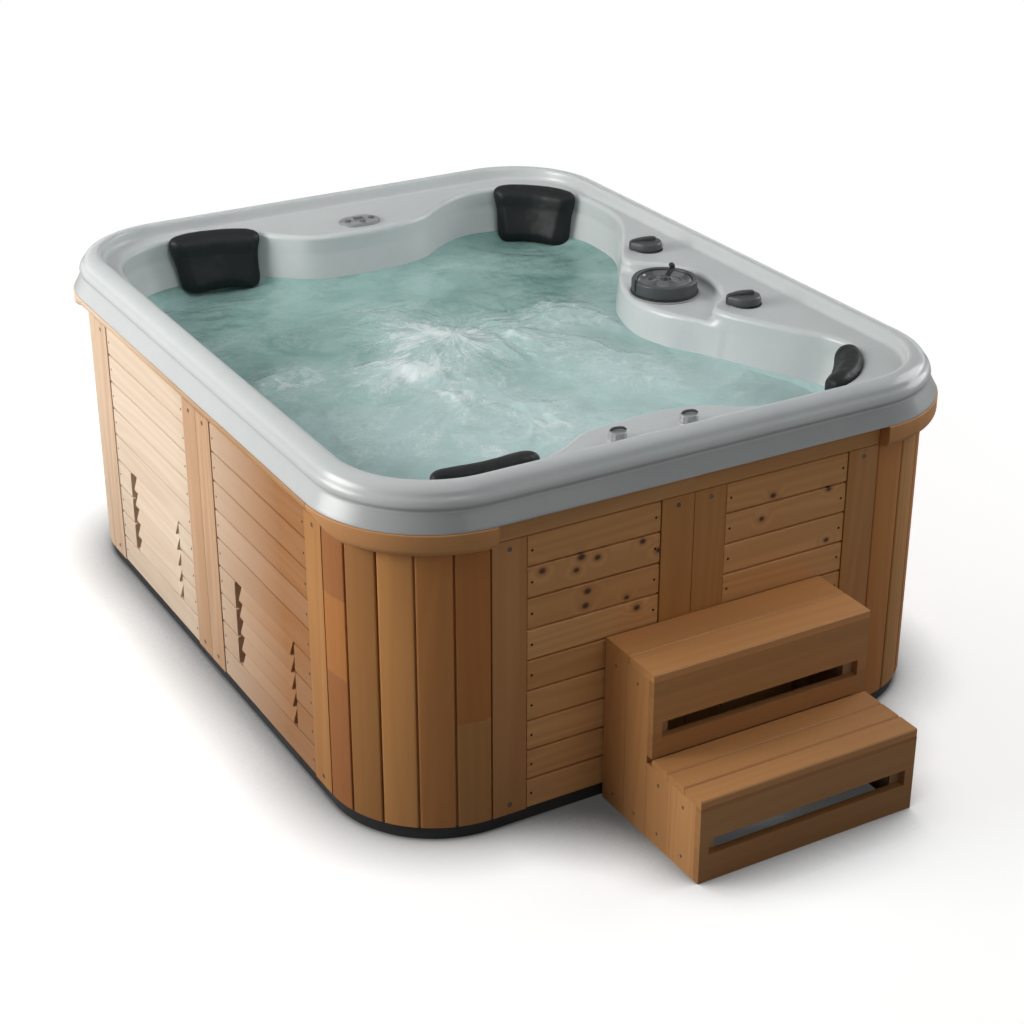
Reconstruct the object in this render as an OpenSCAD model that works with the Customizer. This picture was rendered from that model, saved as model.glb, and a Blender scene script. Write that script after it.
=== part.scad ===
// Timber-clad hot tub for four, with a moulded shell and a loose two-rise step.
// Millimetres, +Z up. The origin is on the floor, under the middle of the tub.
// +X runs along the front wall, where the step stands, and +Y runs to the back.

/* [Cabinet] */
// Width of the cabinet along X, over the faces of the stiles
cabinet_x = 1630; // [1560:10:1760]
// Depth of the cabinet along Y, over the faces of the stiles
cabinet_y = 2040; // [1960:10:2240]
// Radius of the rounded corners, at the outer face of the staves
corner_r = 280; // [260:5:300]
// Height of the moulded base pan, on which the timber stands
base_h = 36; // [30:1:45]
// Thickness of the stiles, rails and staves
wood_t = 20; // [18:1:24]
// Height from one board to the next
board_pitch = 80; // [70:1:84]
// Number of boards in each panel
board_count = 9; // [7:1:9]
// Width of the groove that shows between two boards
board_groove = 5; // [3:0.5:7]
// Depth of that groove
groove_depth = 8; // [5:0.5:10]
// How far the boards lie behind the face of the stiles
board_inset = 2; // [1:0.5:4]
// Chamfer along the edges of each board
board_chamfer = 2; // [1:0.5:2.5]
// Width of a stile
stile_w = 90; // [80:1:110]
// Visible joint between a stile and what lies next to it
stile_joint = 2; // [1:0.5:4]
// Number of staves round each corner
stave_count = 5; // [4:1:7]
// How far the corner fascia stands proud of the staves
fascia_proud = 35; // [30:1:40]
// Height of the edging strip under the rim of the side walls, below the lip
edging_h = 26; // [15:1:40]

/* [Rim] */
// How far the rim stands out past the timber
rim_over = 32; // [28:1:36]
// How far the edge of the rim's crown stands out past the timber
crown_over = 14; // [8:1:20]
// Height of the lower edge of the rim's lip
lip_z = 812; // [800:1:830]
// Height of the upright lip band
lip_h = 44; // [38:1:56]
// Height of the crest of the rim
crest_z = 910; // [895:1:930]
// Distance of the crest inside the face of the timber
crest_in = 40; // [30:1:45]
// Distance of the deck's outer edge inside the face of the timber
deck_in = 52; // [48:1:58]
// Height of the deck inside the crest
deck_z = 875; // [865:1:885]
// Wall of the rim's moulding
rim_t = 6; // [4:0.5:8]
// Wall of the deck and basin
shell_t = 8; // [6:0.5:10]

/* [Basin] */
// Least width of deck between the timber's face and the basin at the sides
basin_margin = 80; // [76:1:100]
// The same behind the four seats
seat_margin = 102; // [95:1:130]
// Depth of the deck at the middle of the back wall
back_console = 302; // [250:1:330]
// Depth of the deck at the middle of the front wall
front_console = 208; // [180:1:240]
// Depth of the deck at the filter on the right wall
filter_console = 380; // [360:1:400]
// Height of the seats
seat_z = 450; // [400:1:500]
// Height of the footwell's floor
floor_z = 150; // [140:1:200]
// Half the width of the footwell along X
foot_x = 290; // [250:5:320]
// Half the depth of the footwell along Y
foot_y = 430; // [360:5:460]

/* [Vents] */
// Width of each louvred vent in the left wall
vent_w = 360; // [300:10:420]
// Number of boards that a vent is high
vent_boards = 3; // [2:1:4]
// Number of the board under the vent, counted from the floor
vent_from = 1; // [1:1:3]
// Number of slats in a vent
slat_count = 5; // [4:1:6]
// Dark gap at each end of the slats
slat_gap = 24; // [10:1:40]

/* [Pillows] */
// Width of a pillow at its top
pillow_w = 306; // [270:1:320]
// How far a pillow's corners stand above the deck
pillow_rise = 13; // [2:1:16]
// Height of a pillow
pillow_h = 170; // [140:1:180]
// Thickness of a pillow
pillow_t = 66; // [45:1:72]
// How much thicker a pillow is at its foot than at its middle, as a share
pillow_wedge = 0.1; // [0:0.05:0.3]
// Narrowing of a pillow from its top to its foot
pillow_taper = 0.14; // [0:0.01:0.25]

/* [Filter] */
// Outer radius of the filter's collar
collar_r = 90; // [84:1:94]
// Height of the collar above its shelf
collar_h = 44; // [30:1:50]
// Inner radius of the collar
collar_bore_r = 76; // [72:1:78]
// Outer radius of the filter canister
canister_r = 70; // [60:1:71]
// Length of the canister under the shelf
canister_h = 300; // [220:10:340]
// Depth of the filter's shelf under the deck
shelf_drop = 35; // [25:1:40]

/* [Controls] */
// Radius of a diverter knob
knob_r = 40; // [34:1:44]
// Height of a diverter knob
knob_h = 24; // [18:1:30]
// Radius of an air control knob
air_r = 23; // [18:1:26]
// Height of an air control knob
air_h = 20; // [15:1:26]
// Length of the control panel's bezel
panel_l = 124; // [112:1:140]
// Width of the control panel's bezel
panel_w = 84; // [76:1:90]
// Radius of a control button
button_r = 9; // [7:0.5:11]
// Travel of a control button
button_travel = 1.5; // [1:0.1:2]
// Radial clearance of a spindle in its bore
spindle_fit = 0.05; // [0.03:0.01:0.1]

/* [Jets] */
// Radius of the face of a large jet
jet_r = 48; // [40:1:55]
// Radius of the face of a small jet
small_jet_r = 28; // [24:1:32]
// Height of the large jets
jet_z = 620; // [590:1:650]

/* [Step] */
// Width of the step
step_w = 610; // [500:10:700]
// Distance of the step's middle to the right of the tub's middle
step_x = 70; // [0:5:100]
// Rise of each tread
step_rise = 220; // [180:5:230]
// Depth of the upper tread
upper_depth = 205; // [180:5:260]
// Depth of the lower tread
lower_depth = 200; // [180:5:260]
// Gap between the step and the tub's wall
step_gap = 0.3; // [0.3:0.1:30]
// Thickness of the step's boards
step_t = 20; // [16:1:24]
// Height of the slots in the step's risers
slot_h = 42; // [30:1:55]

/* [Hidden] */
$fn = 96;

// Half sizes of the cabinet and of its straight runs of wall
hx = cabinet_x / 2;
hy = cabinet_y / 2;
run_x = hx - corner_r;
run_y = hy - corner_r;
WALL_RUN = [run_x, run_y, run_x, run_y];
FRONT = 0;
RIGHT = 1;
BACK = 2;
LEFT = 3;

// Clearances
touch = 0.3;        // between two pieces that nearly touch
hole_fit = 0.3;     // radial, round a fixed fitting
bevel = 3;

// Heights of the timber
wood_z = base_h;
rail_z = wood_z + board_count * board_pitch;
wood_top = lip_z + 14;

// Depths behind the outer face of the timber
batten_t = 20;
batten_w = 40;
frame_y = wood_t + batten_t;
frame_t = 28;
stud_w = 60;
rail_frame_h = 45;
top_frame_h = 70;
top_frame_t = 20;
top_frame_y = deck_in - 5;
former_t = 18;

// The pan's upstand carries all the timber
pan_inset = 10;
pan_ledge = frame_y + frame_t + 8;
pan_floor = 8;
rib_w = 40;

// Heights of the shell
ledge_z = lip_z + lip_h;
shelf_z = deck_z - shelf_drop;
basin_z = shelf_z - shell_t;

// Colours, as the photograph shows them
WOOD = [0.66, 0.44, 0.25];
PALE_WOOD = [0.86, 0.72, 0.55];
STEP_WOOD = [0.42, 0.27, 0.15];
ACRYLIC = [0.80, 0.82, 0.82];
DARK_GREY = [0.30, 0.31, 0.32];
LEATHER = [0.10, 0.13, 0.14];
CHROME = [0.72, 0.74, 0.75];
BLACK = [0.06, 0.06, 0.07];
PVC = [0.88, 0.88, 0.86];

// Places of the fittings on the deck
filter_at = [hx - 277, -78];
knob_rear_at = [hx - 173, 165];
knob_front_at = [hx - 190, -335];
air_left_at = [-143, -hy + 112];
air_right_at = [53, -hy + 112];
panel_at = [35, hy - 228];
BUTTON_AT = [[-38, 0], [0, -22], [38, 0]];

// The bay that holds the filter, open to the basin
bay_left = filter_at[0] - 260;
bay_right = filter_at[0] + 122;
bay_front = filter_at[1] - 212;
bay_back = filter_at[1] + 160;
bay_r = 100;

// Outline of the basin at the deck, as points that a smooth curve goes through.
// It starts at the left wall and goes round by the back.
BASIN_POINTS = [
    [-hx + basin_margin, 0],
    [-hx + basin_margin, 340],
    [-hx + basin_margin + 3, hy - 400],
    [-hx + basin_margin + 35, hy - seat_margin - 128],
    [-hx + basin_margin + 120, hy - seat_margin - 33],
    [-hx + basin_margin + 235, hy - seat_margin],
    [-380, hy - seat_margin - 3],
    [-285, hy - seat_margin - 43],
    [-220, hy - back_console + 82],
    [-140, hy - back_console + 20],
    [-10, hy - back_console],
    [120, hy - back_console + 4],
    [225, hy - back_console + 34],
    [310, hy - seat_margin - 103],
    [400, hy - seat_margin - 46],
    [500, hy - seat_margin - 30],
    [hx - basin_margin - 135, hy - seat_margin - 56],
    [hx - basin_margin - 50, hy - seat_margin - 133],
    [hx - basin_margin - 5, hy - seat_margin - 238],
    [hx - basin_margin + 2, hy - 460],
    [hx - basin_margin - 23, 430],
    [hx - filter_console + 205, 300],
    [hx - filter_console + 115, 170],
    [hx - filter_console + 35, 40],
    [hx - filter_console, -90],
    [hx - filter_console + 15, -200],
    [hx - filter_console + 70, -310],
    [hx - filter_console + 125, -430],
    [hx - basin_margin - 115, -545],
    [hx - basin_margin - 63, -hy + 380],
    [hx - basin_margin - 55, -hy + seat_margin + 188],
    [hx - basin_margin - 95, -hy + seat_margin + 108],
    [hx - basin_margin - 175, -hy + seat_margin + 38],
    [450, -hy + seat_margin - 2],
    [330, -hy + seat_margin - 7],
    [230, -hy + seat_margin + 25],
    [140, -hy + front_console - 23],
    [40, -hy + front_console],
    [-80, -hy + front_console - 1],
    [-190, -hy + front_console - 18],
    [-280, -hy + seat_margin + 38],
    [-390, -hy + seat_margin + 3],
    [-520, -hy + seat_margin],
    [-hx + basin_margin + 95, -hy + seat_margin + 38],
    [-hx + basin_margin + 23, -hy + seat_margin + 128],
    [-hx + basin_margin, -hy + 380],
    [-hx + basin_margin, -330]
];
BASIN_STEPS = 3;

// One point of the smooth curve between b and c, whose neighbours are a and d
function between(a, b, c, d, t) =
    0.5 * (2 * b + (c - a) * t + (2 * a - 5 * b + 4 * c - d) * t * t
           + (3 * b - a - 3 * c + d) * t * t * t);

// The closed smooth curve through a list of points, with n steps from each to the next
function smooth_loop(points, n) = let (m = len(points)) [
    for (i = [0 : m - 1], k = [0 : n - 1])
        between(points[(i + m - 1) % m], points[i], points[(i + 1) % m], points[(i + 2) % m], k / n)
];

function unit(v) = v / norm(v);

// Outward direction at point i of a loop that runs clockwise, seen from above
function loop_normal(loop, i) =
    let (m = len(loop), d = loop[(i + 1) % m] - loop[(i + m - 1) % m]) unit([-d[1], d[0]]);

// The loop moved outwards by d
function grown(loop, d) = [for (i = [0 : len(loop) - 1]) loop[i] + d * loop_normal(loop, i)];

BASIN = smooth_loop(BASIN_POINTS, BASIN_STEPS);
BASIN_OUT = grown(BASIN, shell_t);
LOOP = len(BASIN);

// Footwell: a squarish oval, with a point in the direction of each point of the basin
FOOT_AT = [-55, -35];
FOOT_POWER = 4.5;
function foot_dir(i) = unit(BASIN[i] - FOOT_AT);
function foot_reach(d) =
    pow(pow(abs(d[0]) / foot_x, FOOT_POWER) + pow(abs(d[1]) / foot_y, FOOT_POWER), -1 / FOOT_POWER);
FOOT = [for (i = [0 : LOOP - 1]) FOOT_AT + foot_dir(i) * foot_reach(foot_dir(i))];

// Sections of the basin from its top to its floor. Each row holds how far it lies from the
// basin's outline to the footwell's, its height, its size against the footwell's, and how
// far outwards and downwards the outer face of the moulding lies from the inner one.
wall_h = basin_z - seat_z;
foot_h = seat_z - floor_z;
BASIN_ROWS = [
    [0, basin_z, 1, shell_t, 0],
    [0.025, seat_z + 0.82 * wall_h, 1, shell_t, 1],
    [0.07, seat_z + 0.55 * wall_h, 1, shell_t, 2],
    [0.14, seat_z + 0.31 * wall_h, 1, 7, 4],
    [0.22, seat_z + 0.14 * wall_h, 1, 6, 5],
    [0.31, seat_z + 0.045 * wall_h, 1, 4, 6.5],
    [0.42, seat_z, 1, 0, shell_t],
    [0.88, seat_z, 1, 0, shell_t],
    [0.96, seat_z - 0.03 * foot_h, 1, shell_t, shell_t],
    [1, seat_z - 0.1 * foot_h, 1, shell_t, 4],
    [1, floor_z + 0.25 * foot_h, 0.98, shell_t, 0],
    [1, floor_z + 0.08 * foot_h, 0.95, shell_t, 3],
    [1, floor_z, 0.86, 2, shell_t]
];
ROWS = len(BASIN_ROWS);

function mixed(i, share) = BASIN[i] + (FOOT[i] - BASIN[i]) * share;
function out_dir(i, share) = unit(loop_normal(BASIN, i) * (1 - share) + foot_dir(i) * share);
function inner_point(i, row) =
    let (p = FOOT_AT + (mixed(i, row[0]) - FOOT_AT) * row[2]) [p[0], p[1], row[1]];
function outer_point(i, row) =
    let (p = inner_point(i, row), d = out_dir(i, row[0]) * row[3]) [p[0] + d[0], p[1] + d[1], p[2] - row[4]];

// A point on the inner face of the wall at height z, between two rows, and its direction inwards
function row_at(z, k = 0) = (BASIN_ROWS[k + 1][1] <= z || k == ROWS - 2)
    ? BASIN_ROWS[k] + (BASIN_ROWS[k + 1] - BASIN_ROWS[k])
      * (BASIN_ROWS[k][1] - z) / (BASIN_ROWS[k][1] - BASIN_ROWS[k + 1][1])
    : row_at(z, k + 1);
function wall_point(i, z) = inner_point(i, row_at(z));
function wall_inwards(i, z) =
    unit(cross(wall_point((i + 2) % LOOP, z) - wall_point((i + LOOP - 2) % LOOP, z),
               wall_point(i, z + 12) - wall_point(i, z - 12)));

// Puts children at a point of the basin's wall, with +Z pointing into the basin
module on_basin(i, z) {
    n = wall_inwards(i, z);
    translate(wall_point(i, z))
        rotate([0, acos(n[2]), atan2(n[1], n[0])])
            children();
}

// Jets: one large one in each seat's back, and two small ones beside each
LARGE_JETS = [17, 51, 96, 125];
SMALL_JET_STEP = 4;
small_jet_z = jet_z - 62;
jet_stand = 7;
small_jet_stand = 5;
jet_pipe_r = 22;
small_jet_pipe_r = 13;
nozzle_r = 24;

// Suction fittings and the light, low in the footwell
SUCTIONS = [0, 139];
LIGHT = 29;
suction_z = floor_z + 130;
fitting_stand = 1.5;
suction_r = 45;
suction_pipe_r = 20;
light_r = 42;

// Shared small parts

module rounded_plan(in) {
    r = corner_r - in;
    square([2 * (hx - in), 2 * run_y], center = true);
    square([2 * run_x, 2 * (hy - in)], center = true);
    for (sx = [-1, 1], sy = [-1, 1])
        translate([sx * run_x, sy * run_y])
            circle(r);
}

module rounded_box_plan(x0, x1, y0, y1, r) {
    translate([x0 + r, y0])
        square([x1 - x0 - 2 * r, y1 - y0]);
    translate([x0, y0 + r])
        square([x1 - x0, y1 - y0 - 2 * r]);
    for (x = [x0 + r, x1 - r], y = [y0 + r, y1 - r])
        translate([x, y])
            circle(r);
}

// Puts children at a wall: X along it, Y inwards from its face, Z up
module at_wall(side) {
    places = [[0, -hy], [hx, 0], [0, hy], [-hx, 0]];
    translate(places[side])
        rotate(90 * side)
            children();
}

// Puts children at the axis of a corner, with the corner's quarter from 0 to 90 degrees
module at_corner(turn) {
    centres = [[run_x, run_y], [-run_x, run_y], [-run_x, -run_y], [run_x, -run_y]];
    translate(centres[turn])
        rotate(90 * turn)
            children();
}

// A section in (Y, Z) drawn out along X
module along_x(length) {
    rotate([90, 0, 90])
        linear_extrude(length)
            children();
}

module tube(r, wall, h) {
    difference() {
        cylinder(r = r, h = h);
        translate([0, 0, -1])
            cylinder(r = r - wall, h = h + 2);
    }
}

// Base and timber frame

module base_pan() {
    color(BLACK) {
        linear_extrude(pan_floor)
            rounded_plan(pan_inset);
        linear_extrude(base_h)
            difference() {
                rounded_plan(pan_inset);
                rounded_plan(pan_ledge);
            }
    }
}

// A rail along the foot of each wall, and one under the edge of the deck
module frame_rails() {
    color(PALE_WOOD)
        for (side = [FRONT : LEFT])
            at_wall(side) {
                translate([-WALL_RUN[side], frame_y, wood_z])
                    cube([2 * WALL_RUN[side], frame_t, rail_frame_h]);
                translate([-WALL_RUN[side], top_frame_y, deck_z - shell_t - top_frame_h])
                    cube([2 * WALL_RUN[side], top_frame_t, top_frame_h]);
            }
}

// Stiles stand at the ends of each of a wall's two panels
function panel_edges(side) = [-WALL_RUN[side], 0];
function batten_places(side) = [
    for (edge = panel_edges(side), x = [edge + stile_w, edge + WALL_RUN[side] - stile_w]) x
];

module wall_studs() {
    z = wood_z + rail_frame_h;
    color(PALE_WOOD)
        for (side = [FRONT : LEFT])
            at_wall(side)
                for (x = batten_places(side))
                    translate([x - stud_w / 2, frame_y, z])
                        cube([stud_w, frame_t, deck_z - shell_t - top_frame_h - z]);
}

module corner_formers() {
    outer = corner_r - wood_t - touch;
    inner = corner_r - frame_y - frame_t;
    mid_z = (wood_z + wood_top - former_t) / 2;
    color(PALE_WOOD)
        for (turn = [0 : 3], z = [wood_z, mid_z, wood_top - former_t])
            at_corner(turn)
                translate([0, 0, z])
                    rotate_extrude(angle = 90)
                        translate([inner, 0])
                            square([outer - inner, former_t]);
}

// Bearers under the footwell, and posts under the seats
BEARERS_Y = [-250, 40, 250];
bearer_w = 70;
bearer_x = 190;
post_w = 70;
SEAT_POSTS = [[-520, 640], [480, 620], [500, -640], [-520, -640]];
module shell_cradle() {
    color(PALE_WOOD) {
        for (y = BEARERS_Y)
            translate([FOOT_AT[0] - bearer_x, y - bearer_w / 2, pan_floor])
                cube([2 * bearer_x, bearer_w, floor_z - shell_t - pan_floor]);
        for (p = SEAT_POSTS)
            translate([p[0] - post_w / 2, p[1] - post_w / 2, pan_floor])
                cube([post_w, post_w, seat_z - shell_t - touch - pan_floor]);
    }
}

// Shell

// Cross-section of the rim: X is the distance outside the timber's face, Y the height
band_foot = 3;
undercut = 4;
band_x = crown_over + crest_in;
band_z = crest_z - ledge_z - band_foot;
module rim_section() {
    turns = [0 : 15 : 90];
    outer = [for (a = turns) [-crest_in + band_x * cos(a), ledge_z + band_foot + band_z * sin(a)]];
    inner = [for (a = turns)
        [-crest_in + (band_x - undercut - rim_t) * cos(a),
         ledge_z - 2 + (band_z - rim_t + band_foot + 2) * sin(a)]];
    polygon(concat(
        [[rim_over - rim_t, lip_z], [rim_over, lip_z],
         [crown_over - undercut, ledge_z - 2], [crown_over, ledge_z]],
        outer,
        [[-crest_in - 3, crest_z - 2], [-deck_in, deck_z], [-deck_in - 6, deck_z],
         [-deck_in - 6, deck_z - shell_t], [-deck_in + rim_t + 2, deck_z - shell_t]],
        [for (k = [len(outer) - 1 : -1 : 0]) inner[k]]
    ));
}

module rim() {
    for (turn = [0 : 3])
        at_corner(turn)
            rotate_extrude(angle = 90)
                translate([corner_r, 0])
                    rim_section();
    for (side = [FRONT : LEFT])
        at_wall(side)
            translate([-WALL_RUN[side], 0, 0])
                along_x(2 * WALL_RUN[side])
                    mirror([1, 0])
                        rim_section();
}

module bay_plan(in) {
    rounded_box_plan(bay_left - in, bay_right - in, bay_front + in, bay_back - in, bay_r - in);
}

module deck_holes() {
    for (p = [knob_rear_at, knob_front_at])
        translate(p)
            circle(valve_r + hole_fit);
    for (p = [air_left_at, air_right_at])
        translate(p)
            circle(air_body_r + hole_fit);
    translate(panel_at)
        oval_plan(panel_lip - hole_fit);
}

module shell_rim() {
    color(ACRYLIC) {
        rim();
        // Deck
        translate([0, 0, deck_z - shell_t])
            linear_extrude(shell_t)
                difference() {
                    rounded_plan(deck_in);
                    polygon(BASIN);
                    bay_plan(0);
                    deck_holes();
                }
        // Collar from the deck down to the basin, outside the filter's bay
        translate([0, 0, basin_z])
            linear_extrude(shelf_drop)
                difference() {
                    polygon(BASIN_OUT);
                    polygon(BASIN);
                    bay_plan(0);
                }
        // Wall of the bay
        translate([0, 0, basin_z])
            linear_extrude(shelf_drop)
                difference() {
                    bay_plan(-shell_t);
                    bay_plan(0);
                    polygon(BASIN);
                }
        // Shelf of the bay
        translate([0, 0, basin_z])
            linear_extrude(shell_t)
                difference() {
                    bay_plan(-shell_t);
                    polygon(BASIN);
                    translate(filter_at)
                        circle(canister_r + hole_fit);
                }
        // Foot of the collar under the shelf's edge
        translate([0, 0, basin_z])
            linear_extrude(shell_t)
                difference() {
                    polygon(BASIN_OUT);
                    polygon(BASIN);
                }
    }
}

// The part of the moulding between two of its sections, as one closed solid. Its lower end
// is open, but the last section of all has a floor.
module basin_band(first, last) {
    count = last - first + 1;
    inner = [for (r = [first : last], i = [0 : LOOP - 1]) inner_point(i, BASIN_ROWS[r])];
    outer = [for (r = [first : last], i = [0 : LOOP - 1]) outer_point(i, BASIN_ROWS[r])];
    base = count * LOOP;
    foot = (count - 1) * LOOP;
    bands = [for (r = [0 : count - 2], i = [0 : LOOP - 1])
        let (j = (i + 1) % LOOP, a = r * LOOP + i, b = r * LOOP + j, c = a + LOOP, d = b + LOOP)
        each [[a, c, b], [b, c, d], [base + a, base + b, base + c], [base + b, base + d, base + c]]];
    top = [for (i = [0 : LOOP - 1])
        let (j = (i + 1) % LOOP) each [[i, j, base + i], [j, base + j, base + i]]];
    end = last == ROWS - 1
        ? [
            [for (i = [0 : LOOP - 1]) foot + i],
            [for (i = [LOOP - 1 : -1 : 0]) base + foot + i]
        ]
        : [for (i = [0 : LOOP - 1])
            let (j = (i + 1) % LOOP, a = foot + i, b = foot + j)
            each [[a, base + a, b], [b, base + a, base + b]]];
    polyhedron(concat(inner, outer), concat(bands, top, end), convexity = 10);
}

// Sections at which the moulding is divided into its walls, its seats and its footwell
SEAT_ROW = 4;
FOOT_ROW = 8;
module shell_walls() {
    color(ACRYLIC)
        difference() {
            basin_band(0, SEAT_ROW);
            for (i = LARGE_JETS) {
                on_basin(i, jet_z)
                    cylinder(r = jet_pipe_r + hole_fit, h = 60, center = true);
                for (k = [-SMALL_JET_STEP, SMALL_JET_STEP])
                    on_basin(i + k, small_jet_z)
                        cylinder(r = small_jet_pipe_r + hole_fit, h = 60, center = true);
            }
        }
}

module shell_seats() {
    color(ACRYLIC)
        basin_band(SEAT_ROW, FOOT_ROW);
}

module shell_footwell() {
    color(ACRYLIC)
        difference() {
            basin_band(FOOT_ROW, ROWS - 1);
            for (i = SUCTIONS)
                on_basin(i, suction_z)
                    cylinder(r = suction_pipe_r + hole_fit, h = 60, center = true);
            on_basin(LIGHT, suction_z)
                cylinder(r = suction_pipe_r + hole_fit, h = 60, center = true);
        }
}

// Cladding

module board(length) {
    face_h = board_pitch - board_groove;
    back = board_inset + groove_depth;
    along_x(length)
        polygon([
            [board_inset + board_chamfer, 0], [board_inset, board_chamfer],
            [board_inset, face_h - board_chamfer], [board_inset + board_chamfer, face_h],
            [back, face_h], [back, board_pitch - touch], [wood_t, board_pitch - touch], [wood_t, 0]
        ]);
}

// Nails near both ends of every board
nail_r = 1.6;
nail_head_r = 3.2;
nail_head_h = 1.2;
nail_in = 14;
module board_nails_at(side, grow) {
    for (edge = panel_edges(side), x = [stile_w + nail_in, WALL_RUN[side] - stile_w - nail_in],
         k = [0 : board_count - 1])
        translate([edge + x, board_inset, wood_z + (k + 0.5) * board_pitch - board_groove / 2])
            rotate([-90, 0, 0]) {
                translate([0, 0, grow > 0 ? -1 : 0])
                    cylinder(r = nail_head_r + grow, h = nail_head_h + (grow > 0 ? 1 + grow : 0), $fn = 24);
                cylinder(r = nail_r + grow, h = wood_t - board_inset + (grow > 0 ? 1 : -1), $fn = 24);
            }
}

module board_nails() {
    color(DARK_GREY)
        for (side = [FRONT : LEFT])
            at_wall(side)
                board_nails_at(side, 0);
}

module wall_boards(side, vented) {
    reach = WALL_RUN[side] - 2 * (stile_w + stile_joint);
    end = (reach - vent_w) / 2;
    at_wall(side)
        difference() {
            for (edge = panel_edges(side), k = [0 : board_count - 1])
                translate([edge + stile_w + stile_joint, 0, wood_z + k * board_pitch])
                    if (vented && k >= vent_from && k < vent_from + vent_boards) {
                        board(end);
                        translate([end + vent_w, 0, 0])
                            board(end);
                    } else {
                        board(reach);
                    }
            board_nails_at(side, hole_fit);
        }
}

module front_boards() {
    color(WOOD)
        wall_boards(FRONT, false);
}

module right_boards() {
    color(WOOD)
        wall_boards(RIGHT, false);
}

module back_boards() {
    color(WOOD)
        wall_boards(BACK, false);
}

module left_boards() {
    color(PALE_WOOD)
        wall_boards(LEFT, true);
}

// Screws that hold the stiles, near the top and the foot of each
screw_r = 2.5;
screw_head_r = 6;
screw_head_h = 3;
screw_sink = 4;
SCREWS_Z = [wood_z + 26, rail_z - 24];
module stile_screws(side, grow) {
    for (x = batten_places(side), s = [-1, 1], z = SCREWS_Z) {
        at = x + s * (stile_w / 2);
        if (abs(at) % WALL_RUN[side] < stile_w || WALL_RUN[side] - abs(at) < stile_w)
            translate([at, screw_sink, z])
                rotate([-90, 0, 0]) {
                    translate([0, 0, grow > 0 ? -screw_sink - 1 : -screw_head_h])
                        cylinder(
                            r = screw_head_r + grow,
                            h = grow > 0 ? screw_sink + 1 : screw_head_h,
                            $fn = 32);
                    translate([0, 0, -0.01])
                        cylinder(r = screw_r + grow, h = wood_t - screw_sink + (grow > 0 ? 1 : -1), $fn = 32);
                }
    }
}

module panel_stiles() {
    h = rail_z - wood_z - stile_joint;
    color(WOOD)
        for (side = [FRONT : LEFT])
            at_wall(side)
                difference() {
                    for (edge = panel_edges(side), x = [edge, edge + WALL_RUN[side] - stile_w])
                        translate([x + stile_joint / 2, 0, wood_z])
                            cube([stile_w - stile_joint, wood_t, h]);
                    stile_screws(side, hole_fit);
                }
}

module panel_screws() {
    color(DARK_GREY)
        for (side = [FRONT : LEFT])
            at_wall(side)
                stile_screws(side, 0);
}

module top_rails() {
    color(WOOD)
        for (side = [FRONT : LEFT])
            at_wall(side)
                translate([-WALL_RUN[side] + stile_joint / 2, 0, rail_z])
                    cube([2 * WALL_RUN[side] - stile_joint, wood_t, wood_top - rail_z]);
}

module panel_battens() {
    color(PALE_WOOD)
        for (side = [FRONT : LEFT])
            at_wall(side)
                for (x = batten_places(side))
                    translate([x - batten_w / 2, wood_t, wood_z])
                        cube([batten_w, batten_t, wood_top - wood_z]);
}

// A stave is an arc of timber with a groove down one edge of its face
module corner_staves() {
    slice = 90 / stave_count;
    face = slice - board_groove / corner_r * 180 / PI;
    back = slice - touch / corner_r * 180 / PI;
    groove_r = corner_r - groove_depth;
    color(WOOD)
        for (turn = [0 : 3], k = [0 : stave_count - 1])
            at_corner(turn)
                rotate(k * slice + (slice - face) / 2)
                    translate([0, 0, wood_z]) {
                        rotate_extrude(angle = face)
                            translate([groove_r - 1, 0])
                                square([groove_depth + 1, wood_top - wood_z]);
                        rotate((face - back) / 2)
                            rotate_extrude(angle = back)
                                translate([corner_r - wood_t, 0])
                                    square([wood_t - groove_depth, wood_top - wood_z]);
                    }
}

// Bent strips round the corners, and straight edging along the two side walls
fascia_tuck = 12;
fascia_round = 20;
module fascia_section(h) {
    foot = wood_top - h;
    lid = lip_z - touch;
    under = [for (a = [0 : 15 : 90])
        [fascia_proud - fascia_round * (1 - sin(a)), foot + fascia_round * (1 - cos(a))]];
    polygon(concat(
        [[touch, foot]],
        under,
        [[fascia_proud, lid - bevel], [fascia_proud - bevel, lid],
         [fascia_tuck, lid], [fascia_tuck, wood_top], [touch, wood_top]]
    ));
}

module fascia() {
    strip_h = wood_top - lip_z + edging_h;
    color(WOOD) {
        for (turn = [0 : 3])
            at_corner(turn)
                rotate_extrude(angle = 90)
                    translate([corner_r, 0])
                        fascia_section(wood_top - rail_z);
        for (side = [RIGHT, LEFT])
            at_wall(side)
                translate([-run_y + stile_joint, 0, 0])
                    along_x(2 * (run_y - stile_joint))
                        mirror([1, 0])
                            fascia_section(strip_h);
    }
}

// Louvres of the left wall's vents
vent_z = wood_z + vent_from * board_pitch;
vent_h = vent_boards * board_pitch;
function vent_centres() = [for (edge = panel_edges(LEFT)) edge + run_y / 2];
slat_pitch = vent_h / slat_count;
slat_edge = 6;
module slat(length) {
    along_x(length)
        polygon([
            [board_inset, 0], [board_inset + slat_edge, 0], [wood_t, slat_pitch - slat_edge],
            [wood_t, slat_pitch - 1], [wood_t - slat_edge, slat_pitch - 1], [board_inset, slat_edge]
        ]);
}

module vent_louvres() {
    length = vent_w - 2 * slat_gap;
    color(PALE_WOOD)
        at_wall(LEFT)
            for (x = vent_centres(), k = [0 : slat_count - 1])
                translate([x - length / 2, 0, vent_z + k * slat_pitch + touch])
                    slat(length);
}

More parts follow.
